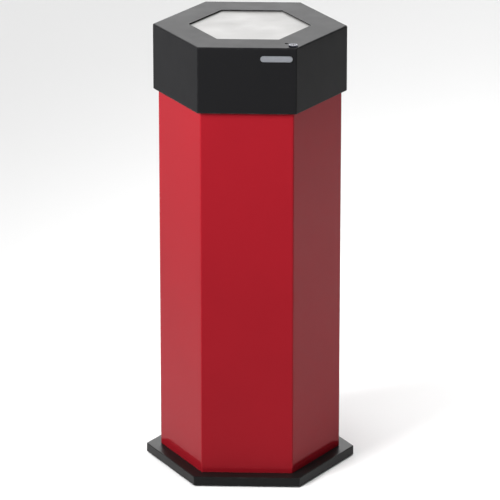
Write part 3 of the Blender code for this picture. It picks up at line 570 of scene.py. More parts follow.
joint_at = {joint["name"]: Vector(joint["pos_m"]) for joint in frame["joints"]}
bail_at = joint_at["bail_swing"]
rim_drop = liner_high.z - bail_at.z
ear_foot = rim_drop - EAR_DEPTH
ear_outline = [
    (-EAR_HALF, ear_foot),
    (EAR_HALF, ear_foot),
    (EAR_HALF, rim_drop),
    *arc((0, 0), EAR_TOP, 0, 180),
    (-EAR_HALF, rim_drop),
]
for label, side in (("front", -1), ("back", 1)):
    ear_low, ear_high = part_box(f"bail_ear_{label}")
    ear = pressed(ear_outline, ear_low.y, ear_high.y, "y")
    ear = drilled(ear, drill_bit(EAR_EYE, ear_low.y - EAR_SHEET, ear_high.y + EAR_SHEET, "y"))
    fit(f"bail_ear_{label}_plate", ear, zinc, "base", f"bail_ear_{label}", bail_at)
    for number, x in enumerate((-EAR_RIVET_SIDE, EAR_RIVET_SIDE), start=1):
        node = f"bail_ear_rivet_{label}_{number}"
        stud_low, stud_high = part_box(node)
        rise = max(abs(stud_low.y), abs(stud_high.y)) - liner_half
        grip = EAR_SHEET + LINER_SHEET
        stud = rivet_stud(EAR_RIVET_SHANK, EAR_RIVET_HEAD, rise, grip, EAR_RIVET_UPSET)
        stud_place = (x, side * liner_half, bail_at.z + rim_drop - EAR_RIVET_DROP)
        stud_turn = 0.0 if side > 0 else math.pi
        fit(f"{node}_stud", stud, zinc, "base", node, stud_place, stud_turn)


# Bail
# The liner's handle: one zinc-plated steel rod bent to the liner's shape, its ends sprung into the ears.
# A ribbed black plastic grip is slid on before bending and turns freely on the middle of the rod.


def rounded_path(corners, radii, steps=8):
    """Path through corners, each inner one rounded to its radius."""
    path = [Vector(corners[0])]
    for index, radius in enumerate(radii):
        before, here, after = [Vector(corner) for corner in corners[index:index + 3]]
        path += rounded_corner(before, here, after, radius, steps)
    path.append(Vector(corners[-1]))
    return path


def drawn_wire(path, radius, edge, sides=16):
    """Round wire along a path, with its two ends eased."""
    ways = [(after - before).normalized() for before, after in zip(path, path[1:])]
    turns = [ways[0]] + [(one + two).normalized() for one, two in zip(ways, ways[1:])] + [ways[-1]]
    across = turns[0].orthogonal().normalized()
    circle = [2 * math.pi * turn / sides for turn in range(sides)]
    rings = []
    for index, (point, way) in enumerate(zip(path, turns)):
        across = (across - way * across.dot(way)).normalized()
        side = way.cross(across)
        ring = [across * math.cos(turn) + side * math.sin(turn) for turn in circle]
        if index == 0:
            rings.append([point + spoke * (radius - edge) for spoke in ring])
            point = point + way * edge
        if index == len(path) - 1:
            rings.append([point - way * edge + spoke * radius for spoke in ring])
            rings.append([point + spoke * (radius - edge) for spoke in ring])
        else:
            rings.append([point + spoke * radius for spoke in ring])
    return skinned(rings, closed=False)


BAIL_RADIUS = 0.003
BAIL_CLEARANCE = 0.0006
BAIL_STUB = 0.004
BAIL_KNEE_INSET = 0.008
BAIL_BEND = 0.014
BAIL_END_BEND = 0.0045
GRIP_RADIUS = 0.009
GRIP_ROOM = 0.012
GRIP_RIBS = 9
GRIP_PLAIN_END = 0.006
GRIP_END_ROUND = 0.002
GRIP_GROOVE = 0.0009
GROOVE_TOP = 0.0012
GROOVE_BOTTOM = 0.0006
GROOVE_EDGE = 0.0005
PLASTIC_DARK = (0.012, 0.012, 0.013)
PLASTIC_LIGHT = (0.024, 0.024, 0.025)
PLASTIC_GRAIN = 0.00005
SEAT_GAP = 0.0003

ear_outer = liner_inside - SEAT_GAP
ear_inner = ear_outer - EAR_SHEET
leg_side = ear_inner - BAIL_RADIUS - BAIL_CLEARANCE
stub_side = ear_outer + BAIL_STUB
knee = liner_inside / math.sqrt(3) - BAIL_KNEE_INSET
grip_low, grip_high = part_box("bail_grip")
bar = (grip_low.x + grip_high.x) / 2
grip_half = grip_high.y
bar_half = grip_half + GRIP_ROOM
front_half = [(0, -stub_side, 0), (0, -leg_side, 0), (-knee, -leg_side, 0), (bar, -bar_half, 0)]
back_half = [(x, -y, 0) for x, y, _ in reversed(front_half)]
bail_bends = [BAIL_END_BEND] + 4 * [BAIL_BEND] + [BAIL_END_BEND]
bail_path = rounded_path(front_half + back_half, bail_bends)
bail_wire = drawn_wire(bail_path, BAIL_RADIUS, CUT_EDGE)
fit("bail_wire", bail_wire, zinc, "bail", "bail_rod", bail_at)


def moulded_plastic():
    """Black polypropylene with a fine moulded grain, shinier where it is worn."""
    material, tree, shader = plain_finish("grip_plastic", roughness=0.5, gloss=0.4)
    toned(tree, shader, cloud(tree, 40.0, 3.0), PLASTIC_DARK, PLASTIC_LIGHT, smooth=0.38, rough=0.56)
    relief(tree, shader, cloud(tree, 2200.0), PLASTIC_GRAIN)
    return material


grip_bore = BAIL_RADIUS + SEAT_GAP
grip_profile = [(grip_bore, -grip_half, CUT_EDGE), (GRIP_RADIUS, -grip_half, GRIP_END_ROUND)]
rib_pitch = 2 * (grip_half - GRIP_PLAIN_END) / GRIP_RIBS
for rib in range(GRIP_RIBS - 1):
    groove = -grip_half + GRIP_PLAIN_END + rib_pitch * (rib + 1)
    grip_profile += [
        (GRIP_RADIUS, groove - GROOVE_TOP, GROOVE_EDGE),
        (GRIP_RADIUS - GRIP_GROOVE, groove - GROOVE_BOTTOM, 0),
        (GRIP_RADIUS - GRIP_GROOVE, groove + GROOVE_BOTTOM, 0),
        (GRIP_RADIUS, groove + GROOVE_TOP, GROOVE_EDGE),
    ]
grip_profile += [(GRIP_RADIUS, grip_half, GRIP_END_ROUND), (grip_bore, grip_half, CUT_EDGE)]
grip_sleeve = turned(grip_profile, "y", closed=True)
plastic = moulded_plastic()
grip_place = bail_at + Vector((bar, 0, 0))
fit("grip_sleeve", grip_sleeve, plastic, "bail", "bail_grip", grip_place)


# Seat buffers
# Two moulded rubber buttons stuck on the column's top flange, at the two front side faces.
# The hood's seats come down on them, so that steel doesn't strike steel.

BUFFER_REACH = 0.147
BUFFER_RADIUS = 0.007
BUFFER_FACE = 0.004
BUFFER_FOOT_EDGE = 0.001
BUFFER_TOP_EDGE = 0.002
SEAT_FACES = {"right": -30, "left": -150}

for label, face in SEAT_FACES.items():
    node = f"seat_buffer_{label}"
    button_low, button_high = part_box(node)
    height = button_high.z - button_low.z
    button = turned(band(BUFFER_FACE, BUFFER_RADIUS, 0, height, 0, BUFFER_FOOT_EDGE, BUFFER_TOP_EDGE))
    turn = math.radians(face)
    button_place = (BUFFER_REACH * math.cos(turn), BUFFER_REACH * math.sin(turn), button_low.z)
    fit(f"buffer_button_{label}", button, rubber, "base", node, button_place)


# Lock keeper
# A folded strip of zinc-plated steel welded on the column's top flange, with a tongue at its top.
# The lock's cam swings back under the tongue when the key is turned.

KEEPER_SHEET = 0.0025
KEEPER_RISER = 0.008
KEEPER_TONGUE = 0.007
KEEPER_FOOT = 0.005

lock_at = joint_at["lock_turn"]
keeper_low, keeper_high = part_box("lock_keeper")
riser_near = lock_at.x + KEEPER_RISER
riser_far = riser_near + KEEPER_SHEET
keeper_outline = [
    (riser_near, keeper_low.z),
    (riser_far + KEEPER_FOOT, keeper_low.z),
    (riser_far + KEEPER_FOOT, keeper_low.z + KEEPER_SHEET),
    (riser_far, keeper_low.z + KEEPER_SHEET),
    (riser_far, keeper_high.z),
    (riser_near - KEEPER_TONGUE, keeper_high.z),
    (riser_near - KEEPER_TONGUE, keeper_high.z - KEEPER_SHEET),
    (riser_near, keeper_high.z - KEEPER_SHEET),
]
keeper_strip = pressed(keeper_outline, keeper_low.y, keeper_high.y, "y")
fit("keeper_strip", keeper_strip, zinc, "base", "lock_keeper")


# Column half of the hinge
# A steel leaf in the column's red coat, riveted to the back face, with two struts to its outer knuckles.
# The hinge pin, peened at both ends, stays in these knuckles.


def hinge_tube(low, high):
    """Rolled knuckle along X with its ends eased, bored for the pin."""
    return turned(band(KNUCKLE_BORE, KNUCKLE_RADIUS, low, high, 0, CUT_EDGE, CUT_EDGE), "x", closed=True)


def oblong(left, right, low, high):
    """Corners of an upright rectangle."""
    return [(left, low), (right, low), (right, high), (left, high)]


def hinge_rivets(label, half, sheet, body):
    """The two rivets that hold one leaf, with their upset heads inside the sheet."""
    for number in (1, 2):
        node = f"{label}_hinge_rivet_{number}"
        low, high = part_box(node)
        outside = half + SEAT_GAP + LEAF_SHEET
        grip = outside - half + sheet
        stud = rivet_stud(RIVET_SHANK, high.x - low.x, high.y - outside, grip, half - sheet - low.y)
        place = ((low.x + high.x) / 2, outside, (low.z + high.z) / 2)
        fit(f"{node}_stud", stud, zinc, body, node, place)


LEAF_SHEET = 0.003
LEAF_HALF = 0.075
KNUCKLE_RADIUS = 0.006
KNUCKLE_BORE = 0.0033
KNUCKLE_MIDDLE = 0.035
KNUCKLE_RUN = 0.001
RIVET_SHANK = 0.0046
STRUT_HALF = 0.002

hinge_at = joint_at["hood_hinge"]
hinge_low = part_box("column_hinge_leaf")[0]
column_near = hinge_low.y - hinge_at.y
leaf_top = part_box("hood_shell")[0].z - KNUCKLE_RUN - hinge_at.z
strut_foot = Vector((column_near + LEAF_SHEET / 2, -KNUCKLE_RADIUS / 2))
strut_side = Vector((-strut_foot.y, strut_foot.x)).normalized() * STRUT_HALF
strut_end = strut_foot * (KNUCKLE_BORE + SEAT_GAP) / strut_foot.length
strut_outline = [
    strut_foot - strut_side,
    strut_end - strut_side,
    strut_end + strut_side,
    strut_foot + strut_side,
]
leaf_outline = oblong(column_near, column_near + LEAF_SHEET, hinge_low.z - hinge_at.z, leaf_top)
column_leaf = [pressed(leaf_outline, -LEAF_HALF, LEAF_HALF, "x")]
for side in (-1, 1):
    low, high = sorted((side * (KNUCKLE_MIDDLE + KNUCKLE_RUN), side * LEAF_HALF))
    column_leaf.append(hinge_tube(low, high))
    column_leaf.append(pressed(strut_outline, low + CUT_EDGE, high - CUT_EDGE, "x"))
fit("column_leaf", joined(*column_leaf), column_coat, "base", "column_hinge_leaf", hinge_at)
hinge_rivets("column", column_half, COLUMN_SHEET, "base")

PIN_RADIUS = 0.003
PIN_HEAD = 0.0045
PIN_PEEN = 0.0015
PIN_SIDES = 32
END_FLAT = 0.001

pin_low, pin_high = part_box("hinge_pin")
pin_end = LEAF_HALF + SEAT_GAP
pin = turned(
    [
        (END_FLAT, pin_low.x, 0),
        (PIN_HEAD, pin_low.x, PIN_PEEN),
        (PIN_HEAD, -pin_end, 0),
        (PIN_RADIUS, -pin_end, 0),
        (PIN_RADIUS, pin_end, 0),
        (PIN_HEAD, pin_end, 0),
        (PIN_HEAD, pin_high.x, PIN_PEEN),
        (END_FLAT, pin_high.x, 0),
    ],
    "x",
    sides=PIN_SIDES,
)
fit("hinge_pin_rod", pin, zinc, "base", "hinge_pin", hinge_at)


# Hood
# A deep six-sided cap folded and welded from thin steel sheet, its top edge bent to a small radius.
# A six-sided throw-in opening and two round holes are punched in its top. The coat is satin black.

HOOD_BLACK = (0.006, 0.006, 0.0065)
HOOD_WORN = (0.05, 0.05, 0.051)
HOOD_SHEET = 0.0015
HOOD_BEND = 0.004
HOOD_EDGE = 0.003
OPENING_HALF = 0.1035
OPENING_BEND = 0.001
LOCK_HOLE = 0.00755
PLAIN_HOLE = 0.004
HOLE_FROM_LOCK = (-0.013, 0.018)

hood_low, hood_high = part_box("hood_shell")
hood_half = hood_high.y
hood_inside = hood_half - HOOD_SHEET
hood_under = hood_high.z - HOOD_SHEET
hood_cap = six_sided(
    [
        (hood_half, hood_low.z, CUT_EDGE),
        (hood_half, hood_high.z, HOOD_EDGE),
        (OPENING_HALF, hood_high.z, CUT_EDGE),
        (OPENING_HALF, hood_under, CUT_EDGE),
        (hood_inside, hood_under, HOOD_EDGE - HOOD_SHEET),
        (hood_inside, hood_low.z, CUT_EDGE),
    ],
    hood_half,
    HOOD_BEND,
    closed=True,
    least_bend=OPENING_BEND,
)
punch_low = hood_under - HOOD_SHEET
punch_high = hood_high.z + HOOD_SHEET
lock_place = Vector((lock_at.x, lock_at.y, 0))
plain_place = lock_place + Vector((*HOLE_FROM_LOCK, 0))
lock_punch = moved(drill_bit(LOCK_HOLE, punch_low, punch_high), lock_place)
plain_punch = moved(drill_bit(PLAIN_HOLE, punch_low, punch_high), plain_place)
hood_cap = drilled(hood_cap, joined(lock_punch, plain_punch))
hood_coat = powder_coat(
    "hood_coat", HOOD_BLACK, HOOD_WORN, roughness=0.4, gloss=0.07, peel_height=0.00001
)
fit("hood_cap", hood_cap, hood_coat, "hood", "hood_shell")


# Hood seats
# Two short lengths of folded angle welded inside the skirt, in the hood's black coat.
# Their flat legs rest on the column's rubber buttons when the hood is shut.

SEAT_SHEET = 0.002
SEAT_LEG = 0.025
SEAT_HALF = 0.025

seat_outer = hood_inside - SEAT_GAP
seat_inner = BUFFER_REACH - BUFFER_RADIUS
for label, face in SEAT_FACES.items():
    node = f"hood_seat_{label}"
    seat_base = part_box(node)[0].z
    seat_outline = [
        (seat_inner, seat_base),
        (seat_outer, seat_base),
        (seat_outer, seat_base + SEAT_LEG),
        (seat_outer - SEAT_SHEET, seat_base + SEAT_LEG),
        (seat_outer - SEAT_SHEET, seat_base + SEAT_SHEET),
        (seat_inner, seat_base + SEAT_SHEET),
    ]
    seat_angle = pressed(seat_outline, -SEAT_HALF, SEAT_HALF, "y")
    fit(f"{node}_angle", seat_angle, hood_coat, "hood", node, turn=math.radians(face))


# Hood half of the hinge
# A steel leaf riveted low on the hood's back face, in black, rolled round the pin at its middle knuckle.
# A short stop welded on the knuckle meets the column's leaf when the hood is right open.

STOP_HALF = 0.012
STOP_THICKNESS = 0.004
HOOD_SWING = 100

leaf_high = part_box("hood_hinge_leaf")[1]
hood_near = hood_half + SEAT_GAP - hinge_at.y
leaf_foot = KNUCKLE_RADIUS + KNUCKLE_RUN
stop_turn = math.radians(180 + HOOD_SWING)
stop_way = Vector((math.cos(stop_turn), math.sin(stop_turn)))
stop_side = Vector((-stop_way.y, stop_way.x)) * (STOP_THICKNESS / 2)
stop_end = stop_way * (-column_near - LEAF_SHEET - 2 * SEAT_GAP)
stop_root = stop_way * (KNUCKLE_BORE + SEAT_GAP)
stop_outline = [stop_root - stop_side, stop_end - stop_side, stop_end + stop_side, stop_root + stop_side]
hood_far = hood_near + LEAF_SHEET
leaf_outline = oblong(hood_near, hood_far, leaf_foot, leaf_high.z - hinge_at.z)
wrap_outline = oblong(hood_near + SEAT_GAP / 2, hood_far - CUT_EDGE, 0, leaf_foot + LEAF_SHEET)
wrap_half = KNUCKLE_MIDDLE - CUT_EDGE
hood_leaf = joined(
    pressed(leaf_outline, -LEAF_HALF, LEAF_HALF, "x"),
    pressed(wrap_outline, -wrap_half, wrap_half, "x"),
    hinge_tube(-KNUCKLE_MIDDLE, KNUCKLE_MIDDLE),
    pressed(stop_outline, -STOP_HALF, STOP_HALF, "x"),
)
fit("hood_leaf", hood_leaf, hood_coat, "hood", "hood_hinge_leaf", hinge_at)
hinge_rivets("hood", hood_half, HOOD_SHEET, "hood")


# Front plate
# A small round-ended plate of satin aluminium, stuck on the hood's front face, right of the middle.
# Its plain field is pressed in, which leaves a raised rim round it.


def satin_aluminium():
    """Rolled aluminium with a fine lengthwise grain and a soft sheen."""
    material, tree, shader = plain_finish("satin_aluminium", roughness=0.46, metal=1.0)
    grain = cloud(tree, 1.0, 2.0, (60.0, 60.0, 4200.0))
    toned(tree, shader, grain, ALUMINIUM_DARK, ALUMINIUM_LIGHT, smooth=0.40, rough=0.52)
    relief(tree, shader, grain, ALUMINIUM_GRAIN)
    return material


def round_ended(left, right, radius):
    """Outline with two round ends, about two centres."""
    return arc((right, 0), radius, -90, 90) + arc((left, 0), radius, 90, 270)


ALUMINIUM_DARK = (0.42, 0.44, 0.48)
ALUMINIUM_LIGHT = (0.54, 0.56, 0.60)
ALUMINIUM_GRAIN = 0.00001
SOFT_EDGE = 0.0003
PLATE_RIM = 0.0009
PLATE_SINK = 0.0003

plate_low, plate_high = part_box("badge_plate")
plate_middle = (plate_low + plate_high) / 2
plate_end = (plate_high.z - plate_low.z) / 2
plate_run = (plate_high.x - plate_low.x) / 2 - plate_end
plate_rows = (
    (0, plate_high.y),
    (0, plate_low.y + SOFT_EDGE),
    (SOFT_EDGE, plate_low.y),
    (PLATE_RIM, plate_low.y),
    (PLATE_RIM + SOFT_EDGE, plate_low.y + PLATE_SINK),
)
plate_rings = []
for inset, depth in plate_rows:
    outline = round_ended(-plate_run, plate_run, plate_end - inset)
    plate_rings.append([along("y", across, up, depth - plate_middle.y) for across, up in outline])
blank_plate = skinned(plate_rings, closed=False)
aluminium = satin_aluminium()
fit("blank_plate", blank_plate, aluminium, "hood", "badge_plate", plate_middle)


# Lock
# A chrome-plated cylinder cam lock through the hood's top, with a round head outside and a nut inside.
# The key turns the cylinder a quarter, and the cam on its end goes under the column's keeper.


def chrome_plate(name, dark, light, roughness):
    """Plating in the two colours it is given, with faint handling haze."""
    material, tree, shader = plain_finish(name, roughness, metal=1.0)
    haze = cloud(tree, 420.0, 4.0)
    toned(tree, shader, haze, dark, light, smooth=0.7 * roughness, rough=1.5 * roughness)
    relief(tree, shader, cloud(tree, 1500.0), PLATING_GRAIN)
    return material


PLATING_GRAIN = 0.000004
# The lock's plating colours are set far darker than bright chrome and tinted blue: painted shade and a
# painted bluish reflection over the real plating.
SHADED_CHROME_DARK = (0.09, 0.095, 0.12)
SHADED_CHROME_LIGHT = (0.13, 0.137, 0.17)
SHADED_NICKEL_DARK = (0.05, 0.05, 0.06)
SHADED_NICKEL_LIGHT = (0.09, 0.09, 0.105)
LOCK_HEAD = 0.009
LOCK_HEAD_ROUND = 0.0012
LOCK_DISH_WIDTH = 0.0009
LOCK_DISH_DEPTH = 0.0006
FINE_EDGE = 0.0002
LOCK_BORE = 0.005
LOCK_BARREL = 0.00725
LOCK_CYLINDER = 0.00475
KEY_HALF_WIDTH = 0.00065
KEY_HALF_HEIGHT = 0.0031
KEY_DEPTH = 0.003
CAM_STUB = 0.003

house_low, house_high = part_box("lock_housing")
house_top = house_high.z - lock_at.z
house_foot = house_low.z - lock_at.z
lock_house = turned(
    [
        (LOCK_BORE, house_top - LOCK_DISH_DEPTH, FINE_EDGE),
        (LOCK_BORE + LOCK_DISH_WIDTH, house_top, SOFT_EDGE),
        (LOCK_HEAD, house_top, LOCK_HEAD_ROUND),
        (LOCK_HEAD, SEAT_GAP, FINE_EDGE),
        (LOCK_BARREL, SEAT_GAP, 0),
        (LOCK_BARREL, house_foot, SOFT_EDGE),
        (LOCK_BORE, house_foot, FINE_EDGE),
    ],
    closed=True,
)
# Painted shade: this chrome is darkened and blued so the lock head looks dim.
chrome = chrome_plate("lock_chrome_painted_shade", SHADED_CHROME_DARK, SHADED_CHROME_LIGHT, roughness=0.30)
fit("lock_house", lock_house, chrome, "hood", "lock_housing", lock_at)

shoulder = house_foot - SEAT_GAP
cylinder_top = house_top - SEAT_GAP
stub_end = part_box("lock_cylinder")[0].z - lock_at.z
plug = turned(
    [
        (END_FLAT, cylinder_top, 0),
        (LOCK_CYLINDER, cylinder_top, CUT_EDGE),
        (LOCK_CYLINDER, shoulder, FINE_EDGE),
        (CAM_STUB, shoulder, 0),
        (CAM_STUB, stub_end, CUT_EDGE),
        (END_FLAT, stub_end, 0),
    ]
)
slot_sides = oblong(-KEY_HALF_WIDTH, KEY_HALF_WIDTH, -KEY_HALF_HEIGHT, KEY_HALF_HEIGHT)
key_cutter = block(slot_sides, cylinder_top - KEY_DEPTH, house_top, "z")
# Painted shade: the plug's plating is darker still, standing in for the shade on the sunk plug round its
# key slot.
shaded_nickel = chrome_plate("lock_nickel_painted_shade", SHADED_NICKEL_DARK, SHADED_NICKEL_LIGHT, roughness=0.28)
fit("lock_plug", drilled(plug, key_cutter), shaded_nickel, "lock", "lock_cylinder", lock_at)

CAM_END = 0.006
CAM_LENGTH = 0.032
NUT_FACE = 0.93
NUT_FACE_ROUND = 0.9
NUT_BORE_ROUND = 0.99
NUT_CHAMFER = 0.12


def cut_nut(node, hole):
    """Hexagon nut with its corners chamfered, round a hole."""
    low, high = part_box(node)
    flats = (high.y - low.y) / 2
    height = high.z - low.z
    chamfer = height * NUT_CHAMFER
    nut = skinned(
        [
            six_sides(hole, hole * NUT_BORE_ROUND, 0),
            six_sides(flats * NUT_FACE, flats * NUT_FACE_ROUND, 0),
            six_sides(flats, FINE_EDGE, chamfer),
            six_sides(flats, FINE_EDGE, height - chamfer),
            six_sides(flats * NUT_FACE, flats * NUT_FACE_ROUND, height),
            six_sides(hole, hole * NUT_BORE_ROUND, height),
        ],
        closed=True,
    )
    return nut, Vector((lock_at.x, lock_at.y, low.z))


nut_mesh, nut_place = cut_nut("lock_nut", LOCK_BARREL + SEAT_GAP)
fit("lock_back_nut", nut_mesh, zinc, "hood", "lock_nut", nut_place)

cam_low, cam_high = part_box("lock_cam")
cam_outline = round_ended(CAM_END - CAM_LENGTH, 0, CAM_END)
cam_blade = pressed(cam_outline, cam_low.z - lock_at.z, cam_high.z - lock_at.z, "z")
fit("cam_blade", cam_blade, zinc, "lock", "lock_cam", lock_at)
nut_mesh, nut_place = cut_nut("cam_nut", CAM_STUB + SEAT_GAP)
fit("cam_end_nut", nut_mesh, zinc, "lock", "cam_nut", nut_place)


# Flap seal
# A flat strip of soft black rubber, mitred round the throw-in opening and stuck under the hood's top.
# The shut flap closes up against it, and keeps smell in and rain out.

SEAL_WIDTH = 0.006
SEAL_BEND = 0.0015

seal_low, seal_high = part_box("flap_seal")
seal_outer = seal_high.y
seal_inner = seal_outer - SEAL_WIDTH
seal_profile = band(seal_inner, seal_outer, seal_low.z, seal_high.z, SOFT_EDGE, SOFT_EDGE, SOFT_EDGE)
seal_strip = six_sided(seal_profile, seal_outer, SEAL_BEND, closed=True)
fit("seal_strip", seal_strip, rubber, "hood", "flap_seal")


# Flap
# A flat plate of brushed stainless steel under the opening, with its edges dressed smooth.
# It is pushed down by hand and hangs from two ears, spot welded under its back edge.

STEEL_DARK = (0.206, 0.203, 0.198)
STEEL_LIGHT = (0.246, 0.243, 0.238)
STEEL_STREAK = 0.000006


def brushed_steel():
    """Stainless steel brushed from side to side: fine streaks, and a finger haze in its shine."""
    material, tree, shader = plain_finish("brushed_steel", roughness=0.42, metal=0.5)
    streaks = cloud(tree, 1.0, 3.0, (14.0, 2600.0, 2600.0))
    haze = cloud(tree, 16.0, 5.0)
    tree.links.new(shades(tree, streaks, STEEL_DARK, STEEL_LIGHT), shader.inputs["Base Color"])
    tree.links.new(between(tree, haze, low=0.38, high=0.48), shader.inputs["Roughness"])
    relief(tree, shader, streaks, STEEL_STREAK)
    return material


flap_low, flap_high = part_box("flap_plate")
flap_half = flap_high.y
flap_profile = band(flap_half - FACE_INSET, flap_half, flap_low.z, flap_high.z, 0, CUT_EDGE, CUT_EDGE)
flap_sheet = six_sided(flap_profile, flap_half, SEAL_BEND, closed=False)
stainless = brushed_steel()
fit("flap_sheet", flap_sheet, stainless, "flap", "flap_plate")


# Flap ears and brackets
# Pressed sheet tabs with an eye for the pin: two stainless ears under the flap, and two black brackets
# under the hood's top. Each has a flat foot that is spot welded to its sheet.

TAB_SHEET = 0.002
TAB_EYE = 0.006
TAB_BORE = 0.00275
EAR_SPREAD = 0.040
EAR_FOOT = (-0.032, -0.010)
BRACKET_FOOT = (-0.002, 0.022)

flap_at = joint_at["flap_hinge"]
tab_inset = TAB_SHEET / 2
ear_top = flap_low.z - SEAT_GAP - flap_at.z
ear_blade = [
    (EAR_FOOT[0] + tab_inset, ear_top - tab_inset),
    (EAR_FOOT[0] + tab_inset, ear_top - 2 * TAB_SHEET),
    *arc((0, 0), TAB_EYE, -90, 90),
    (EAR_FOOT[1] - tab_inset, ear_top - tab_inset),
]
bracket_top = hood_under - SEAT_GAP - flap_at.z
bracket_blade = [
    (BRACKET_FOOT[1] - tab_inset, bracket_top - tab_inset),
    (BRACKET_FOOT[0] + tab_inset, bracket_top - tab_inset),
    *arc((0, 0), TAB_EYE, 180, 360),
]
bracket_spread = EAR_SPREAD + TAB_SHEET + KNUCKLE_RUN


def pin_tab(node, blade, middle, foot, foot_top, material, body, slot):
    """Tab with an upright blade, a drilled eye and a flat foot."""
    low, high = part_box(node)
    upright = pressed(blade, middle - TAB_SHEET / 2, middle + TAB_SHEET / 2, "x")
    upright = drilled(upright, drill_bit(TAB_BORE, middle - TAB_SHEET, middle + TAB_SHEET, "x"))
    flat = pressed(oblong(foot[0], foot[1], foot_top - TAB_SHEET, foot_top), low.x, high.x, "x")
    fit(f"{node}_tab", joined(upright, flat), material, body, node, flap_at)


for label, side in (("left", -1), ("right", 1)):
    ear = (f"flap_ear_{label}", ear_blade, side * EAR_SPREAD, EAR_FOOT, ear_top)
    pin_tab(*ear, stainless, "flap", "satin_steel")
    bracket = (f"flap_bracket_{label}", bracket_blade, side * bracket_spread, BRACKET_FOOT, bracket_top)
    pin_tab(*bracket, hood_coat, "hood", "black_coat")


# Flap pin
# A ground zinc-plated steel pin through all four eyes, which the flap swings on.
# A pressed retaining ring at each end keeps it from sliding out.

rod_low, rod_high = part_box("flap_pin")
rod_radius = (rod_high.z - rod_low.z) / 2
ring_bore = rod_radius + SEAT_GAP
rod_profile = band(END_FLAT, rod_radius, rod_low.x, rod_high.x, 0, CUT_EDGE, CUT_EDGE)
flap_rod = turned(rod_profile, "x", sides=PIN_SIDES)
fit("flap_rod", flap_rod, zinc, "hood", "flap_pin", flap_at)
for label in ("left", "right"):
    node = f"flap_pin_ring_{label}"
    ring_low, ring_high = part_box(node)
    ring_radius = (ring_high.z - ring_low.z) / 2
    ring_profile = band(ring_bore, ring_radius, ring_low.x, ring_high.x, FINE_EDGE, SOFT_EDGE, SOFT_EDGE)
    ring = turned(ring_profile, "x", closed=True, sides=PIN_SIDES)
    fit(f"{node}_washer", ring, zinc, "hood", node, flap_at)


# Flap springs
# Two torsion springs of hard-drawn wire round the pin. The rear legs bear up under the hood's top,
# and the front legs bear up under the flap and push it shut. The coils wind as the flap goes down.


def spring_wire_finish():
    """Hard-drawn wire: dark grey in fine patches, with a slight oily shine."""
    material, tree, shader = plain_finish("spring_wire", roughness=0.34, metal=1.0)
    drawn = cloud(tree, 700.0, 3.0)
    toned(tree, shader, drawn, WIRE_DARK, WIRE_LIGHT, smooth=0.26, rough=0.42)
    relief(tree, shader, drawn, WIRE_GRAIN)
    return material


WIRE_DARK = (0.28, 0.28, 0.29)
WIRE_LIGHT = (0.44, 0.44, 0.45)
WIRE_GRAIN = 0.00001
SPRING_WIRE = 0.00075
SPRING_SIDES = 12
SPRING_CLEARANCE = 0.0008
SPRING_TURNS = 5
SPRING_PITCH = 0.0021
SPRING_FRONT_LEG = 0.030
SPRING_REAR_LEG = 0.025
SPRING_MIDDLE = 0.026
POINTS_PER_TURN = 20

spring_radius = rod_radius + SPRING_CLEARANCE + SPRING_WIRE


def leg_slope(leg, rise):
    """Slope of a leg that leaves the coil on a tangent and ends at a rise above the pin."""
    return math.asin(rise / math.hypot(spring_radius, leg)) - math.atan2(spring_radius, leg)


spring_finish = spring_wire_finish()
leg_touch = SPRING_WIRE + SEAT_GAP
front_slope = leg_slope(SPRING_FRONT_LEG, flap_low.z - flap_at.z - leg_touch)
rear_slope = leg_slope(SPRING_REAR_LEG, hood_under - flap_at.z - leg_touch)
winding = 2 * math.pi * SPRING_TURNS - front_slope - rear_slope
coil_half = SPRING_PITCH * winding / (4 * math.pi)
spring_steps = SPRING_TURNS * POINTS_PER_TURN
for label, side in (("left", -1), ("right", 1)):
    outer = side * (SPRING_MIDDLE + coil_half)
    inner = side * (SPRING_MIDDLE - coil_half)
    coil = []
    for step in range(spring_steps + 1):
        share = step / spring_steps
        turn = math.pi / 2 - rear_slope - winding * share
        x = outer + (inner - outer) * share
        spoke = Vector((x, -spring_radius * math.cos(turn), spring_radius * math.sin(turn)))
        coil.append(flap_at + spoke)
    rear_way = Vector((0, math.cos(rear_slope), math.sin(rear_slope)))
    front_way = Vector((0, -math.cos(front_slope), math.sin(front_slope)))
    path = [coil[0] + rear_way * SPRING_REAR_LEG] + coil + [coil[-1] + front_way * SPRING_FRONT_LEG]
    spring_mesh = drawn_wire(path, SPRING_WIRE, FINE_EDGE, SPRING_SIDES)
    spring = finished(f"torsion_spring_{label}", spring_mesh, spring_finish)
    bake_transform(spring)
    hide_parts(f"flap_spring_{label}")


# Studio
# A wide pale floor and three soft lights, in a white room that is brighter to the left, with a bright
# band behind. The camera stands eight metres back, a little to the right, and looks down on the bin.

FLOOR_HALF = 40.0
FLOOR_TONE = (0.64, 0.64, 0.64)
FLOOR_SHADE = 0.99


def floor_finish():
    """Matt pale paint with a barely visible cloud."""
    material, tree, shader = plain_finish("studio_floor", roughness=0.9, gloss=0.2)
    drift = cloud(tree, 0.8, 2.0)
    dark = [FLOOR_SHADE * part for part in FLOOR_TONE]
    tree.links.new(shades(tree, drift, dark, FLOOR_TONE), shader.inputs["Base Color"])
    return material


floor_mesh = bmesh.new()
floor_corners = oblong(-FLOOR_HALF, FLOOR_HALF, -FLOOR_HALF, FLOOR_HALF)
floor_mesh.faces.new([floor_mesh.verts.new((x, y, 0)) for x, y in floor_corners])
floor = bench_object("studio_floor", floor_mesh)
floor.data.materials.append(floor_finish())

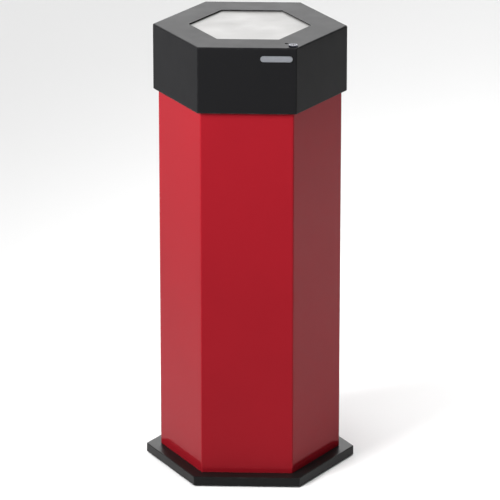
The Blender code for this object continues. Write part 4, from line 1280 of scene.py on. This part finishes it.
world = bpy.data.worlds.new("studio_room")
world.use_nodes = True
bpy.context.scene.world = world
room = world.node_tree
room_way = room.nodes.new("ShaderNodeTexCoord")
room_parts = room.nodes.new("ShaderNodeSeparateXYZ")
room_light = room.nodes["Background"]
room_light.inputs["Color"].default_value = (1.0, 1.0, 1.0, 1.0)
room.links.new(room_way.outputs["Generated"], room_parts.inputs["Vector"])
room_ceiling = between(room, room_parts.outputs["Z"], low=0.10, high=0.55, start=0.0, end=1.0)
room_back = between(room, room_parts.outputs["Y"], low=0.0, high=4.0, start=0.6, end=1.0)
room_side = between(room, room_parts.outputs["X"], low=1.1, high=0.5, start=-1.0, end=1.0)
room_front = between(room, room_parts.outputs["Y"], low=0.25, high=0.0, start=-1.0, end=0.0)
room_ends = combined(room, "ADD", room_front, room_back)
room_sum = combined(room, "ADD", room_ceiling, room_ends)
room.links.new(combined(room, "MULTIPLY", room_sum, room_side), room_light.inputs["Strength"])


def soft_light(name, place, aim, size, power, spread):
    """Square soft light turned to a point and kept out of reflections, its spread in degrees."""
    lamp = bpy.data.lights.new(name, "AREA")
    lamp.size = size
    lamp.spread = math.radians(spread)
    lamp.energy = power
    obj = bpy.data.objects.new(name, lamp)
    obj.location = place
    obj.rotation_euler = (Vector(aim) - Vector(place)).to_track_quat("-Z", "Y").to_euler()
    obj.visible_camera = False
    obj.visible_glossy = False
    bpy.context.scene.collection.objects.link(obj)


soft_light("key_light", (-1.9, -1.7, 2.2), (0, 0, 1.15), size=1.5, power=44.0, spread=60)
soft_light("ceiling_light", (0, 0.5, 5.0), (0, 0.5, 0), size=16.0, power=550.0, spread=30)
soft_light("right_wash", (1.5, 0.7, 3.2), (1.5, 0.7, 0), size=2.0, power=12.0, spread=40)

CAMERA_BACK = 8.0
CAMERA_HEIGHT = 3.187
CAMERA_SIDE = math.radians(2.14)
CAMERA_AIM = Vector((0, 0, 0.4343))
FOCAL_PIXELS = 4257.0
PHOTO_PIXELS = 500
SENSOR = 36.0
FARTHEST = 200.0

camera_data = bpy.data.cameras.new("camera")
camera_data.sensor_width = SENSOR
camera_data.lens = SENSOR * FOCAL_PIXELS / PHOTO_PIXELS
camera_data.clip_end = FARTHEST
camera = bpy.data.objects.new("camera", camera_data)
camera_x = CAMERA_BACK * math.sin(CAMERA_SIDE)
camera_y = -CAMERA_BACK * math.cos(CAMERA_SIDE)
camera_place = Vector((camera_x, camera_y, CAMERA_HEIGHT))
camera.location = camera_place
camera.rotation_euler = (CAMERA_AIM - camera_place).to_track_quat("-Z", "Y").to_euler()
bpy.context.scene.collection.objects.link(camera)
bpy.context.scene.camera = camera
bpy.context.scene.view_settings.view_transform = "Standard"
